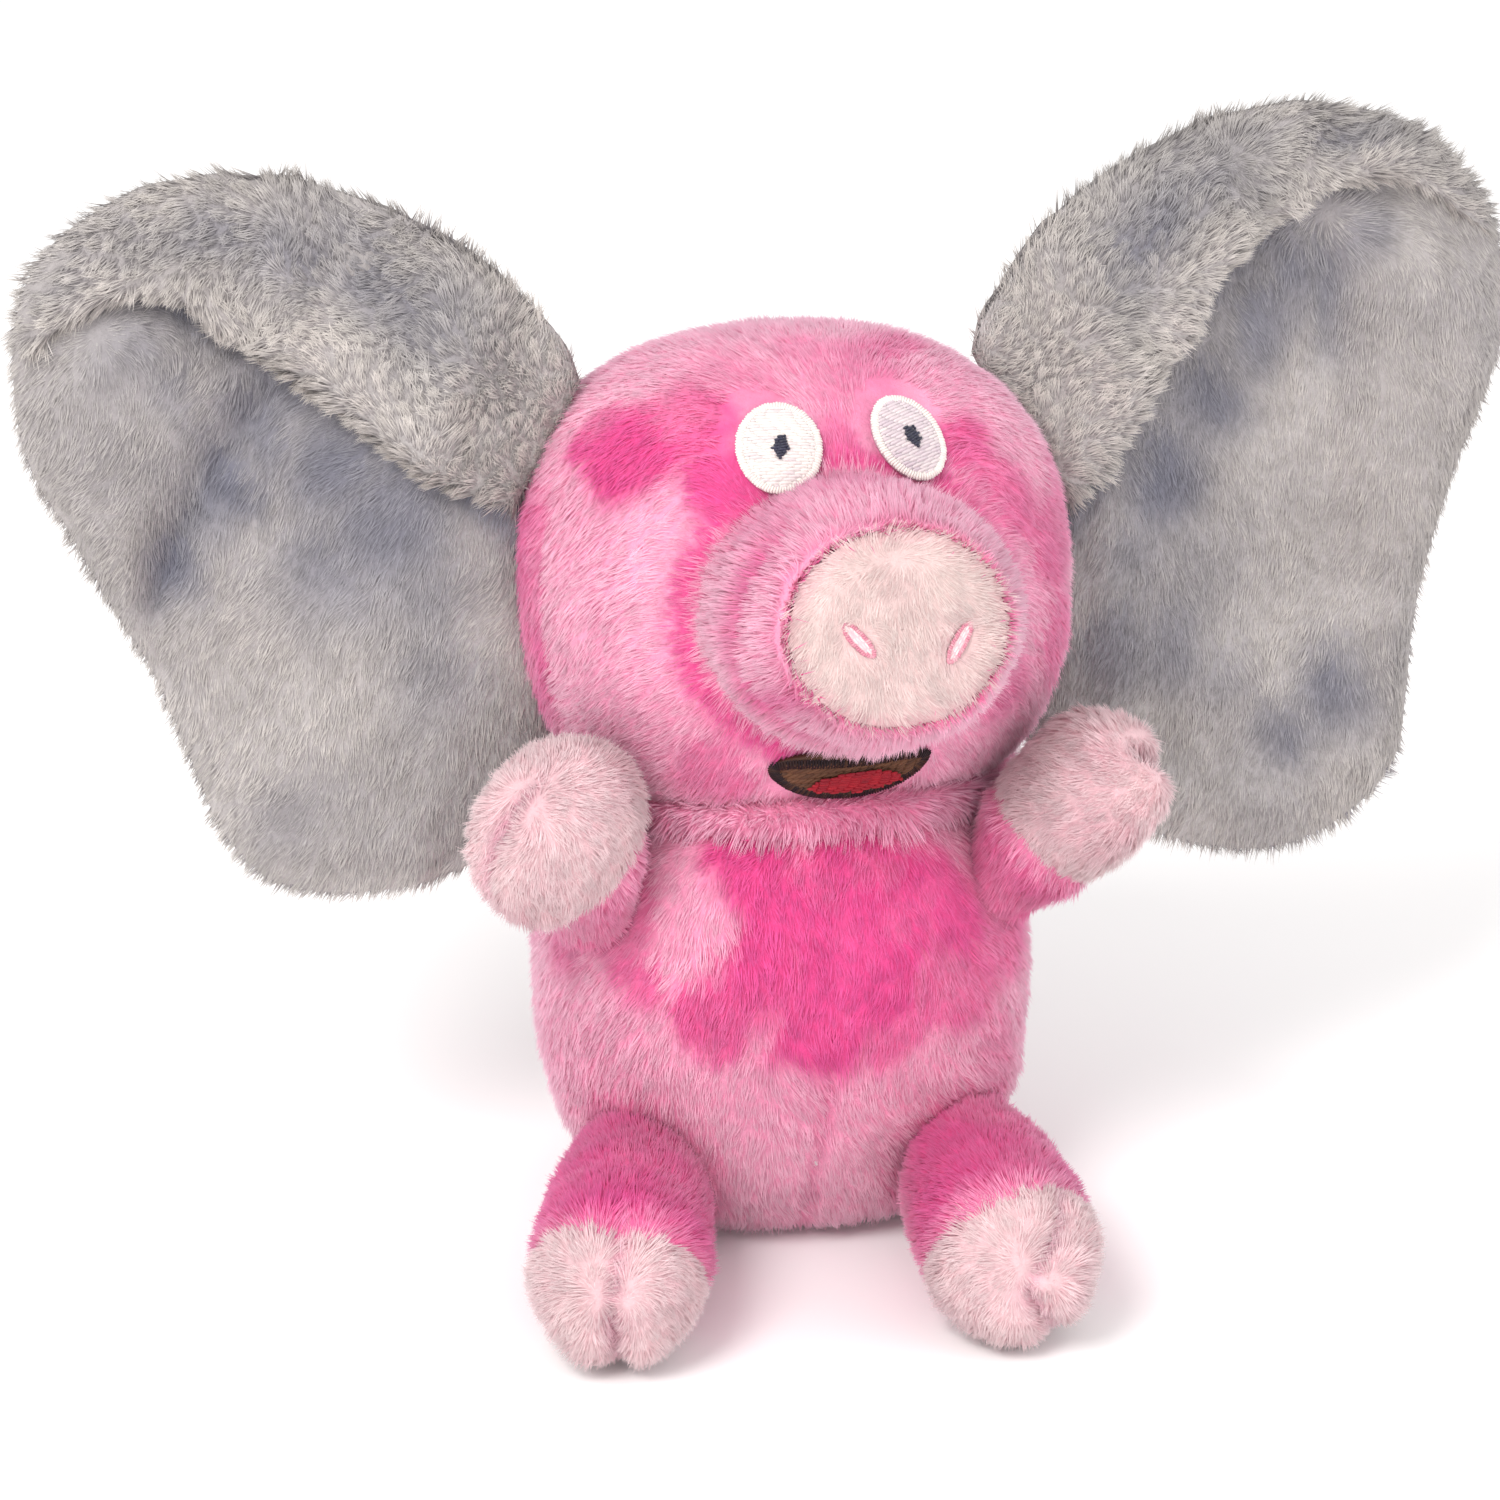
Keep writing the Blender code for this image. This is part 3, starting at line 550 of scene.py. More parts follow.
def pile(
    name,
    skin,
    material,
    parent,
    per_mm2,
    length,
    width,
    flow,
    seed,
    lie=24.0,
    clump=0.5,
    cell=2.6,
    rough=0.25,
    curl=False,
    sink=0.4,
    stand=None,
    link=None,
    floor=None,
):
    """Plants strands on a skin. flow gives the way the pile is brushed at points
    in the world, and lie how steeply it stands, in degrees from the skin. Every
    strand is a thin three-sided spike, and its tip leans to its tuft's tip."""
    rng = np.random.default_rng(seed)
    v, t = skin["v"], skin["t"]
    a, b, c = v[t[:, 0]], v[t[:, 1]], v[t[:, 2]]
    area = np.linalg.norm(np.cross(b - a, c - a), axis=1) / 2
    weight = area * skin["keep"][t].mean(1)
    weight[skin["keep"][t].min(1) < 0.03] = 0
    total = weight.sum()
    count = int(total * per_mm2)
    where = (np.arange(count) + rng.random(count)) / count * total
    tri = np.minimum(np.searchsorted(np.cumsum(weight), where), len(t) - 1)
    r1, r2 = np.sqrt(rng.random(count)), rng.random(count)
    bary = np.stack([1 - r1, r1 * (1 - r2), r1 * r2], 1)[:, :, None]
    pick = lambda q: (q[t[tri]] * bary).sum(1) if q.ndim == 2 else (q[t[tri]] * bary[:, :, 0]).sum(1)
    p, n = pick(v), unit(pick(skin["n"]))
    order = np.argsort(morton((p - p.min(0)) * 4))
    p, n = p[order], n[order]
    marks = {k: pick(skin[k])[order] for k in ("rich", "pale")}
    f = flow(p, n)
    f = f - n * (f * n).sum(1, keepdims=True)
    f = unit(f)
    side = np.cross(n, f)
    swirl = noise(p, 11.0, seed + 11) * 0.75 + noise(p, 4.0, seed + 12) * 0.35
    turn = swirl * rough * 2.6 + rng.normal(0, rough * 0.45, count)
    f = f * np.cos(turn)[:, None] + side * np.sin(turn)[:, None]
    rise = lie * (1 + 0.45 * noise(p, 6.0, seed + 13)) + rng.normal(0, 5.0, count)
    if stand is not None:
        rise = rise + stand(p, n)
    rise = np.radians(np.clip(rise, 6, 80))
    long = length * (0.72 + 0.5 * rng.random(count)) * (1 + 0.16 * noise(p, 5.0, seed + 14))
    centre, mark = tufts(p, cell, seed + 20)
    pull = centre - p
    pull = pull - n * (pull * n).sum(1, keepdims=True)
    strength = clump * (0.6 + 0.6 * mark)
    long = long * (0.86 + 0.28 * mark)
    way = f * np.cos(rise)[:, None] + n * np.sin(rise)[:, None]
    tip = p + way * long[:, None] + pull * strength[:, None]
    root = p - n * sink
    across = unit(np.cross(n, way))
    wide = (width * (0.7 + 0.6 * rng.random(count)) / 2)[:, None]
    over = unit(np.cross(way, across))
    ring = [across * wide, -across * wide, over * wide * 1.1]
    if curl:
        steep = np.radians(np.clip(np.degrees(rise) + 22, 8, 86))
        early = f * np.cos(steep)[:, None] + n * np.sin(steep)[:, None]
        middle = p + early * (long * 0.45)[:, None] + pull * (strength * 0.35)[:, None]
        rows = [root + r for r in ring] + [middle + r * 0.8 for r in ring] + [tip]
        high = [0.0] * 3 + [0.55] * 3 + [1.0]
        local = [(0, 2, 5), (0, 5, 3), (2, 1, 4), (2, 4, 5), (1, 0, 3), (1, 3, 4), (3, 5, 6), (5, 4, 6), (4, 3, 6)]
        flat = [(0.08, 0.08), (0.92, 0.08), (0.5, 0.3), (0.16, 0.5), (0.84, 0.5), (0.5, 0.62), (0.5, 0.94)]
    else:
        rows = [root + r for r in ring] + [tip]
        high = [0.0] * 3 + [1.0]
        local = [(0, 2, 3), (2, 1, 3), (1, 0, 3)]
        flat = [(0.06, 0.06), (0.94, 0.06), (0.5, 0.4), (0.5, 0.94)]
    k = len(rows)
    out = np.stack(rows, 1)
    if floor is not None:
        out[:, :, 2] = np.maximum(out[:, :, 2], floor)
    normal_rows = [across, -across, over] * (2 if curl else 1) + [way * 0.3]
    soft = np.stack([unit(n * 1.0 + r * 0.55) for r in normal_rows], 1)
    under = np.stack([unit(-over * 0.9 + r * 0.5) for r in normal_rows], 1)
    low = [4, 5, 8] if curl else [2]
    soft = np.stack(
        [(under if j in low else soft)[:, list(f)] for j, f in enumerate(local)], 1
    )
    faces = (np.arange(count)[:, None, None] * k + np.array(local)[None]).reshape(-1, 3)
    grid = int(math.ceil(math.sqrt(count)))
    index = np.arange(count)
    # neighbours on the skin share a block of the sheet
    cell_x, cell_y = index % grid, index // grid
    cell_x = np.where(cell_y % 2 == 1, grid - 1 - cell_x, cell_x)
    flat = np.array(flat)
    uv = (np.stack([cell_x, cell_y], 1)[:, None, :] + flat[None]) / grid
    uv = uv[:, np.array(local).ravel(), :].reshape(-1, 2)
    tone = np.clip(0.5 + 0.28 * (mark - 0.5) * 2 + rng.normal(0, 0.16, count), 0, 1)
    spread = lambda q: np.repeat(q, k)
    point = {
        "rich": spread(marks["rich"]),
        "pale": spread(marks["pale"]),
        "tip": np.tile(np.array(high), count),
        "tone": spread(tone),
    }
    ob = solid(name, out.reshape(-1, 3), faces, material, point, uv, soft.reshape(-1, 3))
    if link is not None:
        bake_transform(ob)
    else:
        bpy.context.view_layer.update()
        world = ob.matrix_world.copy()
        ob.parent = parent
        ob.matrix_parent_inverse = parent.matrix_world.inverted()
        ob.matrix_world = world
    print(f"{name}: {count} strands, {len(faces)} faces")
    return ob


def spots(p, places, seed, ragged=3.0):
    """1 inside any of the given (x, y, z, radius) patches, with ragged edges."""
    q = p + np.stack([layered(p, 9.0, seed + k) for k in range(3)], 1) * ragged
    out = np.zeros(len(p))
    for x, y, z, r, strength in places:
        d = np.linalg.norm(q - (x, y, z), axis=1)
        out = np.maximum(out, strength * (1 - smooth(0.62 * r, 1.12 * r, d)))
    return out


DENSE = 1.0
THICK = 1.0

# ------------------------------------------------------------ the body
n0, t0 = icosphere(5)
v = pillow(n0, (37.7, 34.2, 40.7), 2.5) + (0, 2, 37)
v[:, 2] = np.maximum(v[:, 2], 0.8)
local = to_local(NECK, v)
drop = np.maximum(local[:, 2] + 2.0, 0)
v[:, 2] -= drop / NECK[2, 2]
seam = np.exp(-((v[:, 0] - 1.5) / 2.2) ** 2) * (v[:, 2] < 60)
side_seam = np.exp(-((v[:, 1] - 4) / 2.0) ** 2) * (np.abs(v[:, 0]) > 15)
round_limb = np.zeros(len(v))
for key, m in LIMB.items():
    q = to_local(m, v)
    away = np.linalg.norm(q[:, :2], axis=1)
    reach = 11 if key[0] == "arm" else 14.5
    round_limb = np.maximum(round_limb, (q[:, 2] > -4) * (1 - smooth(reach, reach + 3.5, away)))
held = np.maximum.reduce(
    [seam * 0.9, side_seam * 0.8, round_limb, (v[:, 2] < 1.5) * 1.0, smooth(-6, -2.5, to_local(NECK, v)[:, 2])]
)
v = blown(v, t0, held, 1.9, 4.0)
v[:, 2] = np.maximum(v[:, 2], 0.7)
v, t = finer("body", v, t0, 1)
t = outward(v - v.mean(0), t)
n = point_normals(v, t)
seam = np.exp(-((v[:, 0] - 1.5 - 0.12 * (v[:, 2] - 20)) / 1.1) ** 2) * (v[:, 1] < 0) * (1 - smooth(34, 44, v[:, 2]))
v = v - n * (0.7 * seam)[:, None]
body_rich = spots(
    v,
    [
        (-6, -28, 62, 9, 1.0), (6, -30, 60, 13, 1.0), (8, -31, 50, 13, 1.0), (20, -28, 58, 11, 0.9),
        (-8, -31, 50, 9, 0.9), (-15, -30, 42, 7, 0.85), (24, -28, 44, 9, 0.75), (1, -32, 41, 9, 0.9),
        (13, -32, 40, 8, 0.7), (33, -20, 52, 12, 0.6), (-26, -25, 46, 6, 0.7), (30, -24, 33, 6, 0.35),
        (-33, -14, 50, 7, 0.5), (-10, -25, 66, 7, 0.9), (-20, 32, 40, 14, 0.8), (18, 34, 52, 12, 0.7),
        (2, 36, 25, 9, 0.6), (37, 8, 40, 11, 0.6), (-37, 8, 52, 10, 0.6),
    ],
    31,
    4.5,
)
# richer pink along the front seam: painted shade in the seam's groove
body_rich = np.maximum(body_rich, 0.4 * seam)
# richer pink round each limb's join: painted shade where the limbs meet the body
limb_join_shade = np.zeros(len(v))
for key, m in LIMB.items():
    q = to_local(m, v)
    away = np.linalg.norm(q[:, :2], axis=1)
    reach = 9.5 if key[0] == "arm" else 12.6
    limb_join_shade = np.maximum(limb_join_shade, (q[:, 2] > -6) * (1 - smooth(reach, reach + 3.0, away)))
body_rich = np.maximum(body_rich, limb_join_shade * 0.5)
inside = np.zeros(len(v))
for key, m in LIMB.items():
    q = to_local(m, v)
    away = np.linalg.norm(q[:, :2], axis=1)
    inside = np.maximum(inside, (q[:, 2] > -3) * (1 - smooth(6, 8, away)))
body_soft = skin_of(
    v,
    t,
    # paler and less rich towards the bottom: painted light on the lower body
    rich=body_rich + 0.08 + 0.12 * layered(v, 14, 5) - 0.06 * smooth(30, 12, v[:, 2]),
    pale=0.12 * smooth(0.1, 0.5, layered(v, 9, 8)) + 0.10 * smooth(34, 14, v[:, 2]),
    keep=smooth(0.9, 2.2, v[:, 2]) * (1 - inside) * (1 - 0.8 * smooth(-4.0, -2.4, to_local(NECK, v)[:, 2])),
)
body_ob = skin_piece("body_skin", body_soft, pink_skin, "torso", ["body_cover"])


def body_flow(p, n):
    f = np.zeros_like(p) + (0.0, 0.0, -1.0)
    f[:, 0] = 0.35 * np.sin(p[:, 2] / 13.0) + 0.25 * p[:, 0] / 38
    return f


def panels(soft, front):
    """The same skin with the pile of one side only."""
    out = dict(soft)
    out["keep"] = soft["keep"] * front
    return out


ahead = (body_soft["v"][:, 1] < 4).astype(float)
for word, mask in (("front", ahead), ("back", 1 - ahead)):
    pile(f"body_{word}_pile", panels(body_soft, mask), pink_fur, body_ob, 5.4 * DENSE, 2.7, 0.27 * THICK,
         body_flow, 101 + len(word), lie=21, clump=0.5, cell=2.5, rough=0.3, floor=0.25)

# the tuck of pile between head and body, which goes with the neck
ring_r = np.array([6.0, 21.0, 28.0, 31.4, 32.6, 32.6, 31.4, 28.0, 21.0, 6.0])
ring_h = np.array([-4.6, -4.6, -4.3, -3.2, -1.2, 1.2, 3.2, 4.3, 4.6, 4.6])
v, t = turn_skin(ring_r, ring_h, 96, 0.86)
v[:, :2] *= (1 + 0.02 * noise(v, 9, 44))[:, None]
t = outward(v, t)
neck_soft = skin_of(
    to_world(NECK, v), t,
    rich=0.16 + 0.3 * layered(v, 9, 45),
    keep=smooth(26, 29, np.hypot(v[:, 0], v[:, 1] / 0.86)),
)
neck_ob = skin_piece("neck_skin", neck_soft, pink_skin, "neck", [])


def neck_flow(p, n):
    return n * 0.0 + (0.1, 0.0, -0.6)


pile("neck_pile", neck_soft, pink_fur, neck_ob, 6.0 * DENSE, 3.6, 0.3 * THICK,
     neck_flow, 150, lie=64, clump=0.5, cell=2.4, rough=0.5)

# ------------------------------------------------------------ the head
v = pillow(n0, (42.2, 36.7, 38.2), 2.45)
v[:, 2] = np.maximum(v[:, 2], -33 + 2.6)
low = smooth(-27, -30, v[:, 2])
snout_way = to_local(SNOUT, to_world(HEAD, v))
round_snout = np.hypot(snout_way[:, 0], snout_way[:, 1] / 0.9)
front = v[:, 1] < -10
ear_root = np.exp(-((np.abs(v[:, 0]) - 41.5) / 2.5) ** 2) * (np.abs(v[:, 1] - 3) < 5) * (np.abs(v[:, 2] - 6) < 27)
eyes = np.zeros(len(v))
for s in (1, -1):
    eyes = np.maximum(eyes, front * (1 - smooth(0.9, 1.3, np.hypot((v[:, 0] - s * 10) / 7.0, (v[:, 2] - 24.8) / 7.6))))
mouth = front * (1 - smooth(0.9, 1.3, np.hypot(v[:, 0] / 13.5, (v[:, 2] + 24.8) / 5.0)))
top_seam = np.exp(-((v[:, 1] - 3) / 2.0) ** 2)
held = np.maximum.reduce([low, ear_root, eyes, mouth, top_seam * 0.7, front * (1 - smooth(21, 25, round_snout))])
v = blown(v, t0, np.clip(held, 0, 1), 1.8, 4.0)
v, t = finer("head", v, t0, 1)
t = outward(v, t)
snout_way = to_local(SNOUT, to_world(HEAD, v))
round_snout = np.hypot(snout_way[:, 0], snout_way[:, 1] / 0.9)
front = v[:, 1] < -10
# the spots near x 34 to 38, on the head's left side, are painted shade on the side away from the key light; the rest
# are blotches of richer pink
head_rich = spots(
    v,
    [
        (-29, -22, 25, 10, 1.0), (-21, -26, 30, 9, 0.9), (-17, -32, 20, 8, 0.85), (-34, -15, 28, 8, 0.9),
        (-12, -34, 13, 6, 0.8), (0, -33, 24, 5, 0.6), (20, -31, 24, 7, 0.75), (26, -30, 15, 8, 0.6),
        (34, -24, 6, 9, 0.55), (36, -20, -8, 9, 0.5), (2, -18, 37, 7, 0.45), (12, -14, 37, 7, 0.5),
        (-20, -28, -24, 7, 0.5), (25, -30, -14, 7, 0.5), (-14, 30, 22, 12, 0.8), (14, 34, 2, 12, 0.6),
        (-22, 28, -8, 10, 0.6), (20, 26, 26, 9, 0.6), (6, -26, 32, 9, 0.4), (-12, -22, 34, 8, 0.3),
        (38, -14, 12, 9, 0.5),
    ],
    57,
    3.5,
)
# a richer ring round the snout's base: painted shade in the valley where the snout meets the face
snout_valley_shade = front * np.exp(-((round_snout - 24.5) / 1.6) ** 2)
head_rich = np.maximum(head_rich, 0.9 * snout_valley_shade)
# richer at the head's sides where the ears join: painted shade under the ears
head_rich = np.maximum(head_rich, 0.7 * smooth(37, 41, np.abs(v[:, 0])) * (np.abs(v[:, 1]) < 12))
patches = np.zeros(len(v))
for s in (1, -1):
    patches = np.maximum(patches, front * (1 - smooth(0.88, 1.02, np.hypot((v[:, 0] - s * 10) / 6.6, (v[:, 2] - 24.8) / 7.4))))
patches = np.maximum(patches, front * (1 - smooth(0.88, 1.02, np.hypot(v[:, 0] / 12.9, (v[:, 2] + 24.8) / 4.5))))
head_keep = (
    (1 - patches)
    * (1 - front * (1 - smooth(20.5, 22, round_snout)))
    * (1 - 0.8 * smooth(-28.5, -30, v[:, 2]))
)
head_soft = skin_of(
    to_world(HEAD, v), t,
    rich=head_rich + 0.10 + 0.10 * layered(v, 13, 4),
    pale=0.2 * smooth(0.0, 0.45, layered(v, 10, 9)),
    keep=head_keep,
)
head_ob = skin_piece("head_skin", head_soft, pink_skin, "head", ["head_cover"])


def head_flow(p, n):
    q = to_local(HEAD, p)
    s = to_local(SNOUT, p)
    f = np.zeros_like(q)
    f[:, 0] = q[:, 0] / 40.0 * 1.1 - 0.15
    f[:, 2] = -0.75 + 0.5 * smooth(10, 38, q[:, 2])
    f[:, 1] = 0.5 * smooth(20, 36, q[:, 2])
    out = f @ HEAD[:3, :3].T
    # round the snout the pile is brushed away from it
    near = 1 - smooth(23, 34, np.hypot(s[:, 0], s[:, 1]))
    near = near * (q[:, 1] < -8)
    radial = unit(np.stack([s[:, 0], s[:, 1], 0 * s[:, 0]], 1)) @ SNOUT[:3, :3].T
    return out * (1 - 0.8 * near)[:, None] + radial * (0.8 * near)[:, None]


ahead = (to_local(HEAD, head_soft["v"])[:, 1] < 2).astype(float)
for word, mask in (("front", ahead), ("back", 1 - ahead)):
    pile(f"head_{word}_pile", panels(head_soft, mask), pink_fur, head_ob, 5.6 * DENSE, 2.5, 0.26 * THICK,
         head_flow, 202 + len(word), lie=19, clump=0.45, cell=2.4, rough=0.24)


# ------------------------------------------------------------ the snout
def snout_profile(t):
    t = np.asarray(t, float)
    belly = 23 * (0.93 + 0.07 * np.sin(np.pi * np.minimum(1.0, t / 0.9)) - 0.12 * t**3)
    off = np.sqrt(np.maximum(0.0, 1 - np.maximum(0.0, (t - 0.72) / 0.28) ** 2))
    return 17 + (belly - 17) * off


steps = np.concatenate([np.linspace(0.12, 0.7, 12), np.linspace(0.74, 1.0, 11)])
radius = list(snout_profile(steps) - 0.7)
height = list(steps * SNOUT_TIP - 0.5)
# over the rim and down into the seam round the pad
for r, h in ((16.4, -0.05), (15.9, -0.5), (15.5, -1.2), (15.2, -2.0)):
    radius.append(r)
    height.append(SNOUT_TIP - 0.5 + h)
v, t = turn_skin(radius, height, 120, 0.88)
angle = np.arctan2(v[:, 1], v[:, 0])
along = v[:, 2] / SNOUT_TIP
lump = 0.9 * layered(v, 12, 77) * smooth(0.3, 0.5, along)
# a soft pucker low on the viewer's left, where the gusset's ends are joined
pucker = np.exp(-((angle + 2.6) / 0.16) ** 2) * smooth(0.35, 0.6, along)
tuck = np.exp(-((along - 0.68 - 0.05 * np.sin(3 * angle)) / 0.06) ** 2) * smooth(0.3, 0.9, np.cos(angle - math.radians(188)))
scale = 1 + (lump - 0.9 * pucker - 1.0 * tuck) / 22
v[:, 0] *= scale
v[:, 1] *= scale
t = outward(v - (0, 0, 15), t)
rim = smooth(0.93, 1.0, along)
gusset_soft = skin_of(
    to_world(SNOUT, v), t,
    # richer where the skin dives into the pad's seam, in the pucker and in the tuck: painted shade in these hollows
    rich=0.10 + 0.15 * layered(v, 9, 78) + 0.75 * rim * (np.hypot(v[:, 0], v[:, 1] / 0.88) < 17) + 0.6 * pucker + 0.7 * tuck
    + 0.35 * smooth(-0.2, 0.5, np.cos(angle - 1.2)) * smooth(0.8, 0.5, along),
    pale=0.15 * smooth(0.1, 0.5, layered(v, 6, 79)),
)
gusset_ob = skin_piece("snout_gusset_skin", gusset_soft, pink_skin, "head", ["snout_gusset"])


def gusset_flow(p, n):
    s = to_local(SNOUT, p)
    r = unit(np.stack([s[:, 0], s[:, 1], 0 * s[:, 0]], 1))
    rim = smooth(SNOUT_TIP - 3.5, SNOUT_TIP - 0.8, s[:, 2])[:, None]
    out = r * (0.9 - 1.9 * rim) + (0, 0, -0.9) * (1 - rim)
    return out @ SNOUT[:3, :3].T


pile("snout_gusset_pile", gusset_soft, pink_fur, gusset_ob, 6.4 * DENSE, 3.0, 0.27 * THICK,
     gusset_flow, 303, lie=27, clump=0.5, cell=2.3, rough=0.2,
     stand=lambda p, n: 22 * smooth(SNOUT_TIP - 4, SNOUT_TIP - 1, to_local(SNOUT, p)[:, 2]))

# the pad, with a dent round each nostril
rr = np.concatenate([[0.0], np.linspace(0.6, 16.1, 26)])
hh = SNOUT_TIP - 2.3 + 2.6 + 1.9 * (1 - (rr / 16.1) ** 2.8) - 0.5
v, t = turn_skin(rr, hh, 96, 0.88)
t = outward(v - (0, 0, 20), t)
NOSTRIL = {1: (8.8, -2.6, -34.0), -1: (-6.3, -1.0, 40.0)}
dent = np.zeros(len(v))
for s in (1, -1):
    a = math.radians(NOSTRIL[s][2])
    dx, dy = v[:, 0] - NOSTRIL[s][0], v[:, 1] - NOSTRIL[s][1]
    q = np.stack([dx * math.cos(a) + dy * math.sin(a), -dx * math.sin(a) + dy * math.cos(a)], 1)
    dent = np.maximum(dent, np.exp(-((q[:, 0] / 2.6) ** 2) - (q[:, 1] / 4.2) ** 2))
v[:, 2] += 0.35 * layered(v, 8, 80) * (np.hypot(v[:, 0], v[:, 1]) < 13)
v[:, 2] -= 1.1 * dent
slit = dent > 0.9
pad_soft = skin_of(
    to_world(SNOUT, v), t,
    # richer in the nostril dents and at the pad's edge by its seam: painted shade
    rich=0.05 + 0.42 * dent**2 + 0.35 * smooth(13.2, 15, np.hypot(v[:, 0], v[:, 1] / 0.88)) + 0.1 * layered(v, 6, 81),
    pale=0.35 + 0.4 * layered(v, 7, 82),
    keep=1 - slit,
)
pad_ob = skin_piece("snout_pad_skin", pad_soft, pad_skin, "head", ["snout_pad"])


def pad_flow(p, n):
    s = to_local(SNOUT, p)
    out = np.stack([s[:, 0] * 0.045, -0.65 + s[:, 1] * 0.03, 0 * s[:, 0]], 1)
    edge = smooth(9.5, 14.5, np.hypot(s[:, 0], s[:, 1] / 0.88))[:, None]
    out = out * (1 - 0.6 * edge) + unit(s * (1, 1, 0)) * 0.6 * edge
    for k in (1, -1):
        d = s[:, :2] - NOSTRIL[k][:2]
        w = np.exp(-(d**2).sum(1) / 14)
        out[:, :2] += (w / np.maximum(np.linalg.norm(d, axis=1), 0.5))[:, None] * d * 1.2
    return out @ SNOUT[:3, :3].T


pile("snout_pad_pile", pad_soft, pad_fur, pad_ob, 8.5 * DENSE, 2.2, 0.25 * THICK,
     pad_flow, 404, lie=18, clump=0.4, cell=2.1, rough=0.4)


# ------------------------------------------------------------ the ears
OUTLINE = {
    "right": [(47.6, 57), (34.9, 56.5), (25.8, 54.5), (17.8, 52), (7.8, 47), (0.2, 41.5), (-6.4, 36), (-10, 30),
              (-7.5, 20), (-3.6, 8), (-5.5, -8), (-9.5, -21), (-10.5, -31), (-5.0, -43), (3.0, -50.5), (13.1, -53.7),
              (23.8, -55.2), (33.1, -53.9), (37.8, -50.2), (41.7, -45.7), (47.6, -33.6), (53.8, -21.6), (62.1, -10),
              (69, 1.8), (73.3, 7.6), (75.5, 13.3), (77, 20), (77.6, 28.3), (76.7, 36.8), (73.3, 43), (66.4, 49.4), (58.6, 54.1)],
    "left": [(54.3, 56.2), (44.7, 57.3), (31.2, 55.4), (18, 51.6), (6.6, 47.5), (0.4, 42.4), (-4.7, 37.1), (-10, 31),
             (-8, 22), (-3.6, 10), (-5.2, -8), (-10.5, -21), (-12.5, -31), (-8.0, -42.0), (4.3, -53.0), (14.5, -58.6),
             (24.7, -62.6), (33.7, -63.6), (42, -62.2), (50.4, -58.3), (55.7, -53), (58.4, -44), (60.9, -34.5),
             (63.5, -27), (66.4, -20.3), (69.5, -13.4), (73.2, -6), (77.4, 1.7), (80.6, 7.9), (83.1, 14), (84, 21.5),
             (83.8, 28), (82.4, 34), (78.8, 41), (73.6, 47.6), (65.2, 52.7)],
}
LIP = {  # the lower lip of the folded-over upper edge, from the root outward
    "right": [(-1, 8), (6, 11.5), (12.5, 14.5), (20.5, 19.8), (26.8, 24.6), (33.1, 29.2), (43.9, 34), (51.6, 37.6), (59.1, 38.6), (65, 35), (70, 31), (74, 27)],
    "left": [(1, 1.5), (6.5, 7), (11.2, 12.6), (15.2, 17.8), (21.3, 24.2), (25.8, 28.8), (32.2, 34.4), (38, 37.6), (44.6, 40.6), (50, 42.6), (57, 43.4), (65, 41.8), (72, 37.5), (78, 31)],
}
RIM = {  # the upper edge itself, from the root outward
    "right": [(-10, 28), (-7.6, 33.5), (-3.2, 38.6), (4, 44.6), (13, 50), (22, 53.4), (34.9, 56.4), (47.6, 57), (58.6, 54.1), (66.4, 49.4), (73.3, 43), (76.8, 35.5), (77.6, 28.3)],
    "left": [(-10, 28), (-8, 33.6), (-3.4, 38.4), (3, 44.6), (11, 49.4), (22, 53), (33, 55.8), (44.7, 57.3), (54.3, 56.2), (65.2, 52.7), (73.6, 47.6), (79, 41), (82.6, 34), (83.8, 27)],
}
EAR_LOW = {"left": -62.0, "right": -55.5}


def along_line(points, w):
    """Even reading along a polyline, eased a little at its corners."""
    q = np.array(points, float)
    d = np.concatenate([[0], np.cumsum(np.linalg.norm(np.diff(q, axis=0), axis=1))])
    w = np.asarray(w) * d[-1]
    out = 0
    for shift, share in ((-2.0, 0.25), (0.0, 0.5), (2.0, 0.25)):
        out = out + share * np.stack([np.interp(w + shift, d, q[:, k]) for k in range(2)], -1)
    return out


def ear_mid(x, z, side):
    across = np.clip(x / 80, 0, 1)
    t = np.clip((z - EAR_LOW[side]) / (58 - EAR_LOW[side]), 0, 1)
    hollow = 5.0 * np.sin(np.pi * across) ** 1.6
    return hollow * (0.35 + 0.65 * np.sin(np.pi * t)) - 2.5 * across**4


def segment_distance(x, z, line):
    q = np.array(line, float)
    best = np.full(len(x), 1e9)
    for a, b in zip(q[:-1], q[1:]):
        d = b - a
        t = np.clip(((x - a[0]) * d[0] + (z - a[1]) * d[1]) / (d @ d), 0, 1)
        best = np.minimum(best, np.hypot(x - a[0] - t * d[0], z - a[1] - t * d[1]))
    return best


def side_of(x, z, line):
    """How far points lie to the outer side of a line, negative on its inner side."""
    q = np.array(line, float)
    q = np.concatenate([[q[0] + (q[0] - q[1]) * 3], q, [q[-1] + (q[-1] - q[-2]) * 12]])
    best, out = np.full(len(x), 1e9), np.zeros(len(x))
    for a, b in zip(q[:-1], q[1:]):
        d = b - a
        t = np.clip(((x - a[0]) * d[0] + (z - a[1]) * d[1]) / (d @ d), 0, 1)
        away = np.hypot(x - a[0] - t * d[0], z - a[1] - t * d[1])
        sign = np.sign((z - a[1]) * d[0] - (x - a[0]) * d[1])
        near = away < best
        best = np.where(near, away, best)
        out = np.where(near, sign * away, out)
    return out


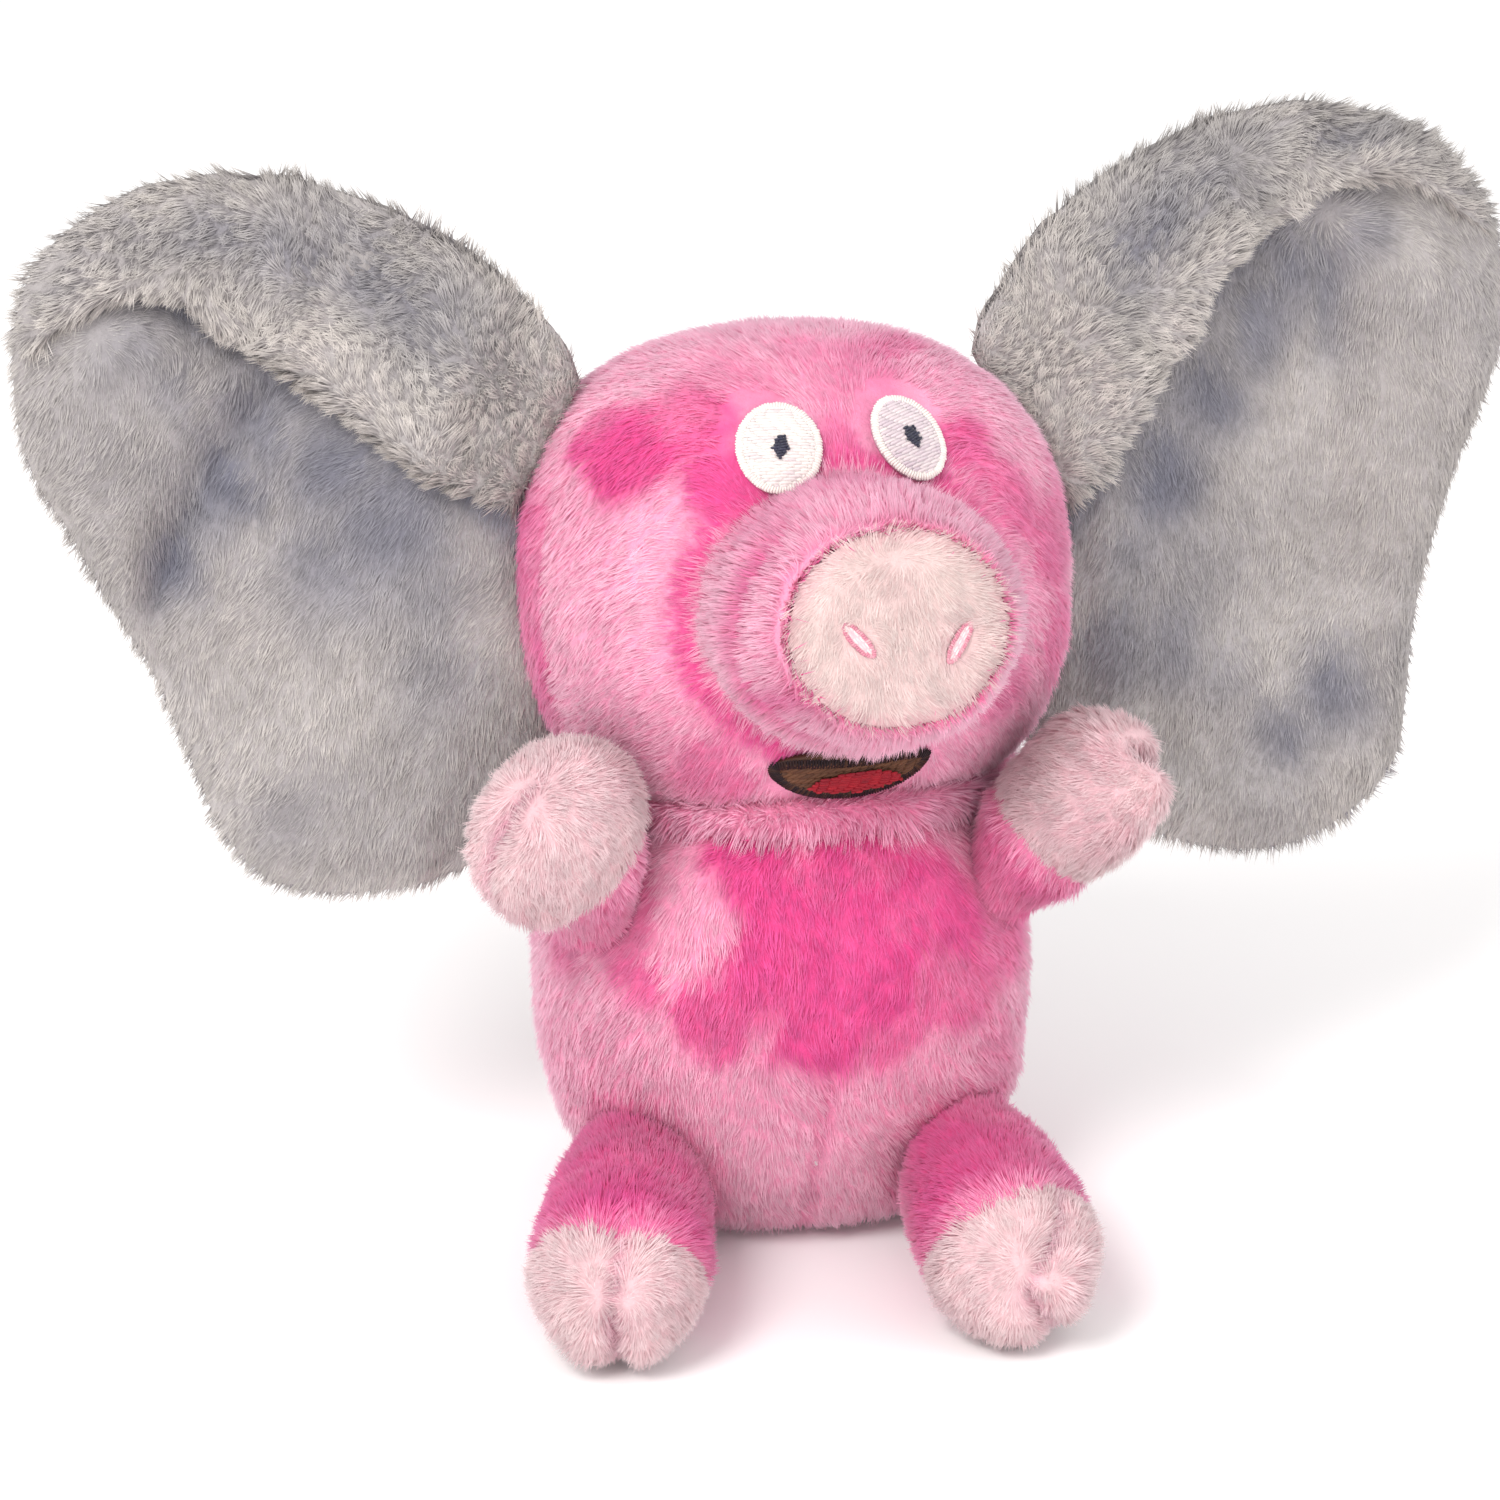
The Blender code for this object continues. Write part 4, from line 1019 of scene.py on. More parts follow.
def ear_disc(side, rings=22, around=110):
    """Points of the ear's face, in rings from its middle to its outline."""
    q = np.array(OUTLINE[side], float)
    q = np.concatenate([q, q[:1]])
    d = np.concatenate([[0], np.cumsum(np.linalg.norm(np.diff(q, axis=0), axis=1))])
    w = np.arange(around) / around * d[-1]
    edge = 0
    for shift, share in ((-2.4, 0.25), (0.0, 0.5), (2.4, 0.25)):
        edge = edge + share * np.stack([np.interp((w + shift) % d[-1], d, q[:, k]) for k in range(2)], 1)
    centre = np.array([36.0, 2.0])
    # pulled in by the length that the pile adds
    edge = centre + (edge - centre) * (1 - 1.7 / np.linalg.norm(edge - centre, axis=1, keepdims=True))
    r = np.sin(np.linspace(0, 1, rings + 1) * np.pi / 2) ** 0.9
    r[0] = 0
    pts = centre + r[1:, None, None] * (edge - centre)[None]
    xz = np.concatenate([centre[None], pts.reshape(-1, 2)])
    rr = np.concatenate([[0.0], np.repeat(r[1:], around)])
    faces = []
    for k in range(around):
        m = (k + 1) % around
        faces.append((0, 1 + k, 1 + m))
        for i in range(rings - 1):
            a, b = 1 + i * around, 1 + (i + 1) * around
            faces += [(a + k, b + k, b + m), (a + k, b + m, a + m)]
    return xz, rr, np.array(faces)


EAR_CREASE = {
    "right": [(30, 29), (38, 21), (46, 10), (50, 0), (52, -9)],
    "left": [(52, 38), (54, 27), (52, 15)],
}
# darker patches on the ear's front: partly mottled pile, partly painted shade in its hollows
EAR_SHADE_AND_MOTTLE = {
    "right": [(45, 8, 7, 0.9), (50, -4, 5, 0.9), (38, 18, 6, 0.7), (18, 4, 9, 0.8), (26, 12, 8, 0.8), (12, -6, 7, 0.5),
              (60, 28, 6, 0.5), (9, -16, 7, 0.45), (27, -3, 9, 0.6), (52, 22, 5, 0.4), (33, 24, 6, 0.7), (30, -40, 8, 0.3)],
    "left": [(18, -24, 8, 0.6), (43, -39, 7, 0.9), (36, -42, 6, 0.7), (24, -30, 6, 0.5), (20, 2, 8, 0.9), (30, 12, 8, 0.9),
             (40, 22, 7, 0.8), (48, 28, 6, 0.7), (12, -10, 8, 0.5), (9, -22, 7, 0.6), (58, 33, 5, 0.6), (26, -14, 8, 0.4)],
}

for side, s in (("left", 1), ("right", -1)):
    M = EAR[side]
    body = f"ear_{side}"
    flip = lambda xz, depth: np.stack([xz[:, 0], s * depth, xz[:, 1]], 1)
    xz, rr, faces = ear_disc(side)
    x, z = xz[:, 0], xz[:, 1]
    mid = ear_mid(x, z, side)
    close = np.sqrt(np.clip(1 - rr**7, 0, 1))  # the two faces meet at the rim
    lip_gap = segment_distance(x, z, LIP[side])
    crease_gap = segment_distance(x, z, EAR_CREASE[side])
    full = (1 - 0.55 * np.exp(-((lip_gap / 7) ** 2))) * (1 - 0.5 * np.exp(-((crease_gap / 4) ** 2)))
    curl = 2.0 * smooth(0.75, 1.0, rr)  # the free edge curls forward a little
    front = mid - (1.6 + 1.3 * full) * close - curl * (x > 8) - 0.35
    back = mid + (1.5 + 1.5 * (1 - rr**2)) * close - curl * (x > 8) - 0.35
    # blow up the two faces together, held along the rim, the fold and the root
    vf, vb = flip(xz, front), flip(xz, back)
    edge_ring = rr > 0.999
    both = np.concatenate([vf, vb])
    held = np.maximum(edge_ring * 1.0, np.exp(-((lip_gap / 4) ** 2)))
    held = np.maximum(held, 0.75 * np.exp(-((crease_gap / 3) ** 2)))
    held = np.maximum(held, smooth(6, 2, x) * (np.abs(z) < 30))
    held_back = np.maximum(edge_ring * 1.0, smooth(6, 2, x) * (np.abs(z) < 30))
    tt = np.concatenate([faces, faces[:, ::-1] + len(vf)])
    tt_out = tt if s > 0 else tt[:, ::-1]
    # the front face looks forward: check one face's way out
    a0, b0, c0 = both[tt_out[5][0]], both[tt_out[5][1]], both[tt_out[5][2]]
    if np.cross(b0 - a0, c0 - a0)[1] * -s < 0:
        tt_out = tt_out[:, ::-1]
    both = blown(both, tt_out.copy(), np.concatenate([held, held_back]), 1.3, 4.0)
    vf, vb = both[: len(vf)], both[len(vf) :]
    ff, fb = tt_out[: len(faces)], tt_out[len(faces) :] - len(vf)
    lumps = 0.55 * layered(flip(xz, mid), 17, 91) * (rr < 0.93)
    # the part outside the second crease swells forward of the hollow beside it
    swell = side_of(x, z, EAR_CREASE[side])
    swell = smooth(-0.5, 7.5, swell) * smooth(-34, -6, z) * (1 - smooth(0.78, 0.98, rr))
    swell = swell * (3.6 if side == "right" else 2.4) * smooth(2.0, 8.0, lip_gap)
    pinch = (64.0, 31.0) if side == "right" else (54.0, 37.5)
    puff = np.exp(-((x - pinch[0]) ** 2 + (z - pinch[1]) ** 2) / 5.5**2)
    vf[:, 1] -= s * (swell + 1.5 * puff)
    vf[:, 1] -= s * (lumps + 0.3 - 1.0 * np.exp(-((crease_gap / 2.2) ** 2)) * (full < 2) * 0.6)
    # never thinner than the wadding inside
    depth = s * vf[:, 1]
    vf[:, 1] = s * np.where(rr < 0.93, np.minimum(depth, mid - 1.35), depth)
    depth = s * vb[:, 1]
    vb[:, 1] = s * np.where(rr < 0.93, np.maximum(depth, mid + 1.35), depth)

    shade_and_mottle = np.zeros(len(xz))
    warp = np.stack([layered(flip(xz, mid), 12, 92), layered(flip(xz, mid), 12, 95)], 1) * 5
    for cx, cz, r, strength in EAR_SHADE_AND_MOTTLE[side]:
        d = np.hypot(x + warp[:, 0] - cx, z + warp[:, 1] - cz)
        shade_and_mottle = np.maximum(shade_and_mottle, 0.92 * strength * (1 - smooth(0.15 * r, 1.8 * r, d)))
    # darkest under the fold's lip: painted shadow cast by the folded edge
    shade_and_mottle = np.maximum(shade_and_mottle, np.exp(-((lip_gap / (4.8 if s < 0 else 6.0)) ** 2)) * smooth(0.85, 0.65, np.clip(x / 80, 0, 1)))
    # darker along the second crease: painted shade
    shade_and_mottle = np.maximum(shade_and_mottle, 0.6 * np.exp(-((crease_gap / 3.0) ** 2)))
    # under the folded edge nothing shows, so no pile is planted there
    w_dense = np.linspace(0, 1, 60)
    lip_line, rim_line = along_line(LIP[side], w_dense), along_line(RIM[side], w_dense)
    polygon = np.concatenate([lip_line, rim_line[::-1]])
    inside = np.zeros(len(xz), bool)
    j = len(polygon) - 1
    for i in range(len(polygon)):
        (x1, z1), (x2, z2) = polygon[i], polygon[j]
        cross = ((z1 > z) != (z2 > z)) & (x < (x2 - x1) * (z - z1) / (z2 - z1 + 1e-12) + x1)
        inside ^= cross
        j = i
    covered = inside & (lip_gap > 3.0) & (rr < 0.95)
    fold_soft = None
    front_soft = skin_of(
        to_world(M, vf), ff,
        rich=shade_and_mottle + 0.18 + 0.22 * layered(vf, 15, 93 + (s > 0)),
        pale=0.5 * puff + 0.55 * smooth(0.05, 0.55, layered(vf, 13, 97)) * (1 - shade_and_mottle) + 0.35 * smooth(0.9, 1.0, rr),
        keep=1.0 - covered,
    )
    front_ob = skin_piece(f"ear_{side}_front_skin", front_soft, grey_skin, body, [f"ear_{side}_front"])
    back_soft = skin_of(
        to_world(M, vb), fb,
        rich=0.3 + 0.35 * layered(vb, 16, 98),
        pale=0.3 * smooth(0.1, 0.5, layered(vb, 12, 99)),
    )
    back_ob = skin_piece(f"ear_{side}_back_skin", back_soft, grey_skin, body, [f"ear_{side}_back"])
    lean = -0.25 if side == "right" else -0.45

    # the thin wadding between the two faces, short of the rim
    around = 110
    turns = int((rr[1::around] < 0.86).sum())
    count = 1 + turns * around
    middle, half = (vf + vb) / 2, (vb - vf) / 2 * 0.55
    wad = np.concatenate([(middle - half)[:count], (middle + half)[:count]])
    ring = 1 + (turns - 1) * around + np.arange(around)
    after = np.roll(ring, -1)
    walls = np.concatenate([np.stack([ring, after, after + count], 1), np.stack([ring, after + count, ring + count], 1)])
    a0, b0, c0 = wad[walls[0][0]], wad[walls[0][1]], wad[walls[0][2]]
    if np.dot(np.cross(b0 - a0, c0 - a0), a0 - wad[0]) < 0:
        walls = walls[:, ::-1]
    wad_faces = np.concatenate([ff[(ff < count).all(1)], fb[(fb < count).all(1)] + count, walls])
    wad_ob = solid(f"ear_{side}_padding", to_world(M, wad), wad_faces, stuffing)
    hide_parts(f"ear_{side}_wadding")
    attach(wad_ob, body)

    # the sewn roll at the root, rounded off at its ends
    cad_roll = nodes[f"ear_{side}_seam"]
    old = to_local(M, np.array([cad_roll.matrix_world @ w.co for w in cad_roll.data.vertices]) * 1000)
    tall, wide = np.abs(old[:, 2]).max(), np.hypot(old[:, 0], old[:, 1]).max()
    zz = np.linspace(-1, 1, 21)
    rolls = wide * 0.8 * np.clip(1 - np.abs(zz) ** 4, 0.04, 1) ** 0.5
    turn = np.arange(12) / 12 * 2 * np.pi
    roll_v = np.stack([
        rolls[:, None] * np.cos(turn), rolls[:, None] * np.sin(turn), np.repeat(zz[:, None] * tall * 0.99, 12, 1)
    ], 2).reshape(-1, 3)
    roll_f = []
    for i in range(20):
        for k in range(12):
            a, b = i * 12 + k, i * 12 + (k + 1) % 12
            roll_f += [(a, b, b + 12), (a, b + 12, a + 12)]
    low_end, high_end = len(roll_v), len(roll_v) + 1
    roll_v = np.concatenate([roll_v, [(0, 0, -tall * 0.995), (0, 0, tall * 0.995)]])
    for k in range(12):
        roll_f += [(low_end, (k + 1) % 12, k), (high_end, 240 + k, 240 + (k + 1) % 12)]
    roll_f = np.array(roll_f)
    if np.linalg.det(M[:3, :3]) < 0:
        roll_f = roll_f[:, ::-1]
    roll_ob = solid(f"ear_{side}_roll", to_world(M, roll_v), roll_f, grey_roll)
    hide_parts(f"ear_{side}_seam")
    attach(roll_ob, body)

    def ear_flow(p, n, M=M, side=side, lean=lean):
        q = to_local(M, p)
        f = np.zeros_like(q)
        f[:, 2] = -1.0
        f[:, 0] = (0.55 if side == "right" else -0.3) + 0.3 * np.sin(q[:, 2] / 17)
        # the pile whorls out of the pinch at the outer end of the fold
        spot = (64.0, 31.0) if side == "right" else (54.0, 37.5)
        d = q[:, [0, 2]] - spot
        far = np.linalg.norm(d, axis=1)
        w = np.exp(-((far / 13) ** 2))[:, None]
        f[:, [0, 2]] = f[:, [0, 2]] * (1 - w) + unit(d) * w * 1.2
        return f @ M[:3, :3].T

    pile(f"ear_{side}_front_pile", front_soft, grey_fur, front_ob, 5.4 * DENSE, 2.5, 0.26 * THICK,
         ear_flow, 500 + s, lie=17, clump=0.4, cell=2.4, rough=0.24)

    def back_flow(p, n, M=M):
        q = to_local(M, p)
        f = np.zeros_like(q) + (0.5, 0, -0.9)
        return f @ M[:3, :3].T

    pile(f"ear_{side}_back_pile", back_soft, grey_fur, back_ob, 5.0 * DENSE, 2.3, 0.25 * THICK,
         back_flow, 510 + s, lie=16, clump=0.45, cell=2.6, rough=0.3)

    # the folded-over upper edge
    rows = 72
    w = np.linspace(0, 1, rows)
    lip, rim = along_line(LIP[side], w), along_line(RIM[side], w)
    rim = rim + unit(lip - rim) * 1.4
    tall = 8.6 * smooth(-0.12, 0.25, w) * (1 - 0.86 * smooth(0.6, 1.0, w))
    tall = tall * (1 + 0.10 * np.sin(w * 17 + s) + 0.06 * np.sin(w * 41))
    section = []
    for u in np.linspace(0, 1, 18):
        section.append((u, "front"))
    for a in np.linspace(0, np.pi, 8)[1:-1]:
        section.append((a, "lip"))
    for u in np.linspace(1, 0, 7)[:-1]:
        section.append((u, "back"))
    points = []
    for i in range(rows):
        span = np.linalg.norm(lip[i] - rim[i])
        inward = (lip[i] - rim[i]) / max(span, 1e-6)
        for u, part in section:
            if part == "front":
                at = rim[i] + (lip[i] - rim[i]) * u
                high = tall[i] * (0.10 + 0.90 * math.sin(math.pi / 2 * min(1, u * 1.05)) ** 0.75) - 0.6 * (1 - u) ** 3
            elif part == "lip":
                at = lip[i] + inward * (0.36 * tall[i] * math.sin(u))
                high = tall[i] * 0.5 + tall[i] * 0.5 * math.cos(u)
            else:
                at = rim[i] + (lip[i] - rim[i]) * u
                high = -0.5
            base = ear_mid(np.array([max(at[0], 0)]), np.array([at[1]]), side)[0]
            base = base - 2.2 - 1.2 * min(1, max(at[0], 0) / 10)
            rise = 1.6 * (1 - u) if part != "lip" else 0
            points.append((at[0], s * (base + rise * 0.9 - high), at[1]))
    fv = np.array(points)
    k = len(section)
    tris = []
    for i in range(rows - 1):
        for j2 in range(k):
            m = (j2 + 1) % k
            a, b = i * k, (i + 1) * k
            tris += [(a + j2, b + j2, b + m), (a + j2, b + m, a + m)]
    for i in (0, rows - 1):
        fv = np.concatenate([fv, fv[i * k : (i + 1) * k].mean(0)[None]])
        c = len(fv) - 1
        for j2 in range(k):
            m = (j2 + 1) % k
            tri = (i * k + j2, i * k + m, c)
            tris.append(tri if i == 0 else tri[::-1])
    tris = np.array(tris)
    # which way is out: the front row's faces must look forward
    mid_face = tris[(rows // 2) * 2 * k + 16]
    e = np.cross(fv[mid_face[1]] - fv[mid_face[0]], fv[mid_face[2]] - fv[mid_face[0]])
    if e[1] * s > 0:
        tris = tris[:, ::-1].copy()
    fn = point_normals(fv, tris)
    wrinkle = 0.9 * layered(fv, 9, 120 + s) + 0.35 * noise(fv, 3.5, 131)
    fv = fv + fn * wrinkle[:, None]
    # darker patches run along the middle of the band, and its lip is pale
    band = np.tile([q[0] if q[1] == "front" else 1.0 for q in section], rows)
    run = np.repeat(w, k)
    band = np.concatenate([band, [1, 1]])
    run = np.concatenate([run, [0, 1]])
    patchy = np.exp(-(((band - 0.42) / 0.26) ** 2)) * smooth(0.08, 0.28, run) * (1 - smooth(0.62, 0.9, run))
    patchy = patchy * smooth(-0.5, 0.35, layered(fv, 8, 147))
    lip_pale = smooth(0.6, 0.95, band) * smooth(0.02, 0.2, run)
    height = np.tile([1.0 if q[1] == "back" else 0.0 for q in section], rows)
    height = np.concatenate([height, [0, 0]])
    lip_side = np.tile([1.0 if q[1] == "lip" else 0.0 for q in section], rows)
    lip_side = np.concatenate([lip_side, [0, 0]])
    fold_soft = skin_of(
        to_world(M, fv), tris,
        rich=(0.30 + 0.34 * layered(fv, 10, 140) + 0.5 * patchy - 0.2 * lip_pale) * smooth(-0.1, 0.3, run) - 0.1,
        pale=0.5 * smooth(0.0, 0.5, layered(fv, 7, 143)) * (1 - patchy) + 0.45 * lip_pale,
        keep=1 - height,
    )
    fold_ob = skin_piece(f"ear_{side}_fold_skin", fold_soft, grey_skin, body, [f"ear_{side}_fold"])

    def fold_flow(p, n, M=M, side=side, s=s):
        q = to_local(M, p)
        f = np.zeros_like(q)
        f[:, 0] = 0.6 + 0.9 * noise(q, 9.0, 150)
        f[:, 2] = 0.35 - 0.9 * smooth(10, 60, q[:, 0]) + 0.9 * noise(q, 9.0, 151)
        return f @ M[:3, :3].T

    pile(f"ear_{side}_fold_pile", fold_soft, grey_fold_fur, fold_ob, 7.2 * DENSE, 2.9, 0.27 * THICK,
         fold_flow, 520 + s, lie=31, clump=0.95, cell=2.4, rough=0.5)


# ------------------------------------------------------------ the limbs
def limb_radius(t, ball, tip, length):
    t = np.asarray(t, float)
    swell = ball + (tip - ball) * np.sin(np.minimum(1.0, np.maximum(t, 0) / (0.6 * length)) * np.pi / 2)
    start = length - tip
    w = np.clip((t - start) / tip, 0, 1)
    out = swell * np.sqrt(np.maximum(0.0, 1 - w**2.4))
    return np.where(t <= 0, np.sqrt(np.maximum(0.0, ball**2 - np.minimum(t, 0) ** 2)), out)


CUFF = {  # where the hoof is sewn on: its middle, its slant, and which way it slants
    ("arm", "left"): (10.0, 2.0, 200),
    ("arm", "right"): (10.5, 2.5, -20),
    ("leg", "left"): (31.0, 8.5, 118),
    ("leg", "right"): (32.5, 9.0, 84),
}


def limb_form(v, kind, side, length, around_cuff, clefts):
    """Shapes a turned limb: two soft lobes with a cleft between them at its end,
    a tuck at the cuff, and for a hand a palm that is fuller above."""
    v = v.copy()
    along = v[:, 2] / length
    marks = np.zeros(len(v))
    seam_in = np.exp(-(((v[:, 2] - around_cuff) / 1.3) ** 2)) * 0.7
    lump = 0.6 * layered(v, 8, 200 + len(kind + side))
    v[:, :2] *= (1 + (lump - seam_in) / np.maximum(np.hypot(v[:, 0], v[:, 1]), 4.0))[:, None]
    for a, deep, wide in clefts:
        a = math.radians(a)
        ca, sa = math.cos(a), math.sin(a)
        off = -v[:, 0] * sa + v[:, 1] * ca
        ahead = v[:, 0] * ca + v[:, 1] * sa
        gate = smooth(0.5, 0.85, along) * smooth(-3.5, 3.5, ahead)
        groove = np.exp(-((off / wide) ** 2)) * gate
        lobe = np.exp(-(((np.abs(off) - 5.2) / 3.8) ** 2)) * gate
        marks = np.maximum(marks, groove)
        move = 1.0 * lobe - deep * groove
        v[:, 2] += move
        v[:, 0] += 0.6 * move * ca
        v[:, 1] += 0.6 * move * sa
    if kind == "arm":
        if side == "right":
            v[:, 0] += 0.26 * v[:, 1] * smooth(8, 16, v[:, 2])
        slim = 1 - 0.06 * smooth(6, 14, v[:, 2])
        v[:, 0] *= slim
        high, low, lift, bend = (0.08, 0.30, 4.2, 2.0) if side == "right" else (0.0, 0.0, 3.4, 1.2)
        low = high + (low - high) * smooth(1, -5, v[:, 1])
        v[:, 1] = v[:, 1] * (slim + low * smooth(7, 16, v[:, 2])) + lift * smooth(-8, 10, v[:, 2]) + bend * smooth(6, 26, v[:, 2])
    return v, marks


def limb_skin(kind, side, ball, tip, length, clefts):
    """The sleeve, the hoof and the stuffing of a limb, each a skin round its axis."""
    M = LIMB[kind, side]
    middle, slant, way = CUFF[kind, side]
    out = []
    for part in ("sleeve", "hoof", "fill"):
        around = 32 if part == "fill" else 72
        less, back = (2.3, 1.9) if part == "fill" else (0.9, 0.4)
        a = np.arange(around) / around * 2 * np.pi
        cuff = middle + slant * np.cos(a - math.radians(way))
        last = length - 0.02
        if part == "sleeve":
            t = -ball * 0.85 + (cuff + ball * 0.85) * np.linspace(0, 1, 26)[:, None]
        elif part == "hoof":
            t = last - (last - cuff) * (1 - np.sin(np.linspace(0, 1, 34) * np.pi / 2))[:, None]
        else:
            t = -ball * 0.8 + (last + ball * 0.8) * np.sin(np.linspace(0, 1, 26) * np.pi / 2)[:, None] + 0 * a
        r = np.maximum(limb_radius(t, ball, tip, length) - less, 0.05)
        v = np.stack([r * np.cos(a), r * np.sin(a), t - back], 2).reshape(-1, 3)
        edge = np.repeat((cuff - back)[None], len(t), 0).ravel()
        _, tris = turn_skin(np.ones(len(t)), np.ones(len(t)), around)
        ends = [] if part == "sleeve" else [len(t) - 1]
        ends += [0] if part == "fill" else []
        for row in ends:
            v = np.concatenate([v, [[0, 0, v[row * around, 2] + (0.05 if row else -0.2)]]])
            edge = np.append(edge, middle)
            ring = row * around + np.arange(around)
            cap = np.stack([ring, np.roll(ring, -1), np.full(around, len(v) - 1)], 1)
            tris = np.concatenate([tris, cap if row else cap[:, ::-1]])
        past = v[:, 2] - edge
        v, marks = limb_form(v, kind, side, length, edge, clefts)
        out.append((v, tris, marks, past))
    return M, out


def limb_flow(M, kind):
    """The pile of a limb is brushed back from its tip."""

    def flow(p, n):
        q = to_local(M, p)
        f = unit(np.stack([q[:, 0], q[:, 1], 0 * q[:, 0]], 1)) * 0.3 + (0, 0, -0.9)
        f[:, 1] -= 0.25
        return f @ M[:3, :3].T

    return flow


CLEFTS = {  # its angle round the limb, its depth and its width
    ("arm", "left"): [(-34, 3.6, 2.0)],
    ("arm", "right"): [(-115, 0.7, 1.4)],
    ("leg", "left"): [(-62, 1.2, 1.5), (55, 0.5, 1.4)],
    ("leg", "right"): [(-86, 1.5, 1.6), (82, 0.6, 1.5)],
}
for (kind, side), M in LIMB.items():
    size = (8.0, 12.6, 31.5) if kind == "arm" else (11.0, 13.6, 46.5)
    M, (sleeve, hoof, inner) = limb_skin(kind, side, *size, CLEFTS[kind, side])
    end = "hand" if kind == "arm" else "foot"
    body = f"{kind}_{side}"
    number = {"arm": 0, "leg": 2}[kind] + (side == "left")
    above = (lambda w, low: np.maximum(w, np.where([0, 0, 1], low, -1e9))) if kind == "leg" else (lambda w, low: w)
    v, t, marks, past = inner
    ob = solid(f"{kind}_{side}_stuffing", above(to_world(M, v), 2.0), t, stuffing)
    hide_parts(f"{kind}_{side}_fill")
    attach(ob, body)
    v, t, marks, past = sleeve
    w = above(to_world(M, v), 0.6)
    near_hoof = smooth(-4, 0, past)
    soft = skin_of(
        w, t,
        rich=((1.0 if kind == "leg" else 0.65) + 0.4 * layered(w, 9, 210)) * (1 - 0.35 * near_hoof),
        pale=0.12 * smooth(0.2, 0.6, layered(w, 6, 212)) + 0.12 * near_hoof,
        keep=smooth(-0.5, 0.0, v[:, 2] / size[0]) * (smooth(0.5, 1.5, w[:, 2]) if kind == "leg" else 1),
    )
    ob = skin_piece(f"{kind}_{side}_skin", soft, pink_skin, body, [f"{kind}_{side}_cover"])
    pile(f"{kind}_{side}_pile", soft, pink_fur, ob, 6.2 * DENSE, 2.6, 0.27 * THICK,
         limb_flow(M, kind), 600 + number, lie=22, clump=0.5, cell=2.4, rough=0.25, floor=0.2)
    v, t, marks, past = hoof
    w = above(to_world(M, v), 0.6)
    soft = skin_of(
        w, t,
        # richer in the cleft and just past the cuff under the sleeve's edge: painted shade
        rich=0.08 + 0.55 * marks + 0.3 * smooth(0.0, 0.6, layered(w, 9, 220)) + 0.35 * smooth(2.5, 0, past),
        pale=0.5 + 0.4 * layered(w, 7, 221) - 0.5 * marks,
        keep=smooth(0.5, 1.5, w[:, 2]) if kind == "leg" else np.ones(len(w)),
    )
    ob = skin_piece(f"{end}_{side}_skin", soft, pale_skin, body, [f"{end}_{side}_cover"])
    pile(f"{end}_{side}_pile", soft, pale_fur, ob, 8.4 * DENSE, 2.5, 0.25 * THICK,
         limb_flow(M, kind), 640 + number, lie=22, clump=0.6, cell=2.5, rough=0.5, floor=0.2)


# ------------------------------------------------------------ embroidery
def face_frame(x, z, height, roll=0.0):
    half, power = np.array([43.5, 38.0, 39.5]), 2.45
    rest = 1 - abs(x / half[0]) ** power - abs(z / half[2]) ** power
    y = -half[1] * max(rest, 0.0) ** (1 / power)
    p = np.array([x, y, z])
    n = unit([math.copysign(abs(p[i] / half[i]) ** (power - 1) / half[i], p[i]) for i in range(3)])
    side = unit(np.cross((0, 0, 1), n))
    m = np.eye(4)
    m[:3, 0], m[:3, 1], m[:3, 2], m[:3, 3] = side, np.cross(n, side), n, p + n * height
    return turned_about(HEAD @ m, "Z", roll)


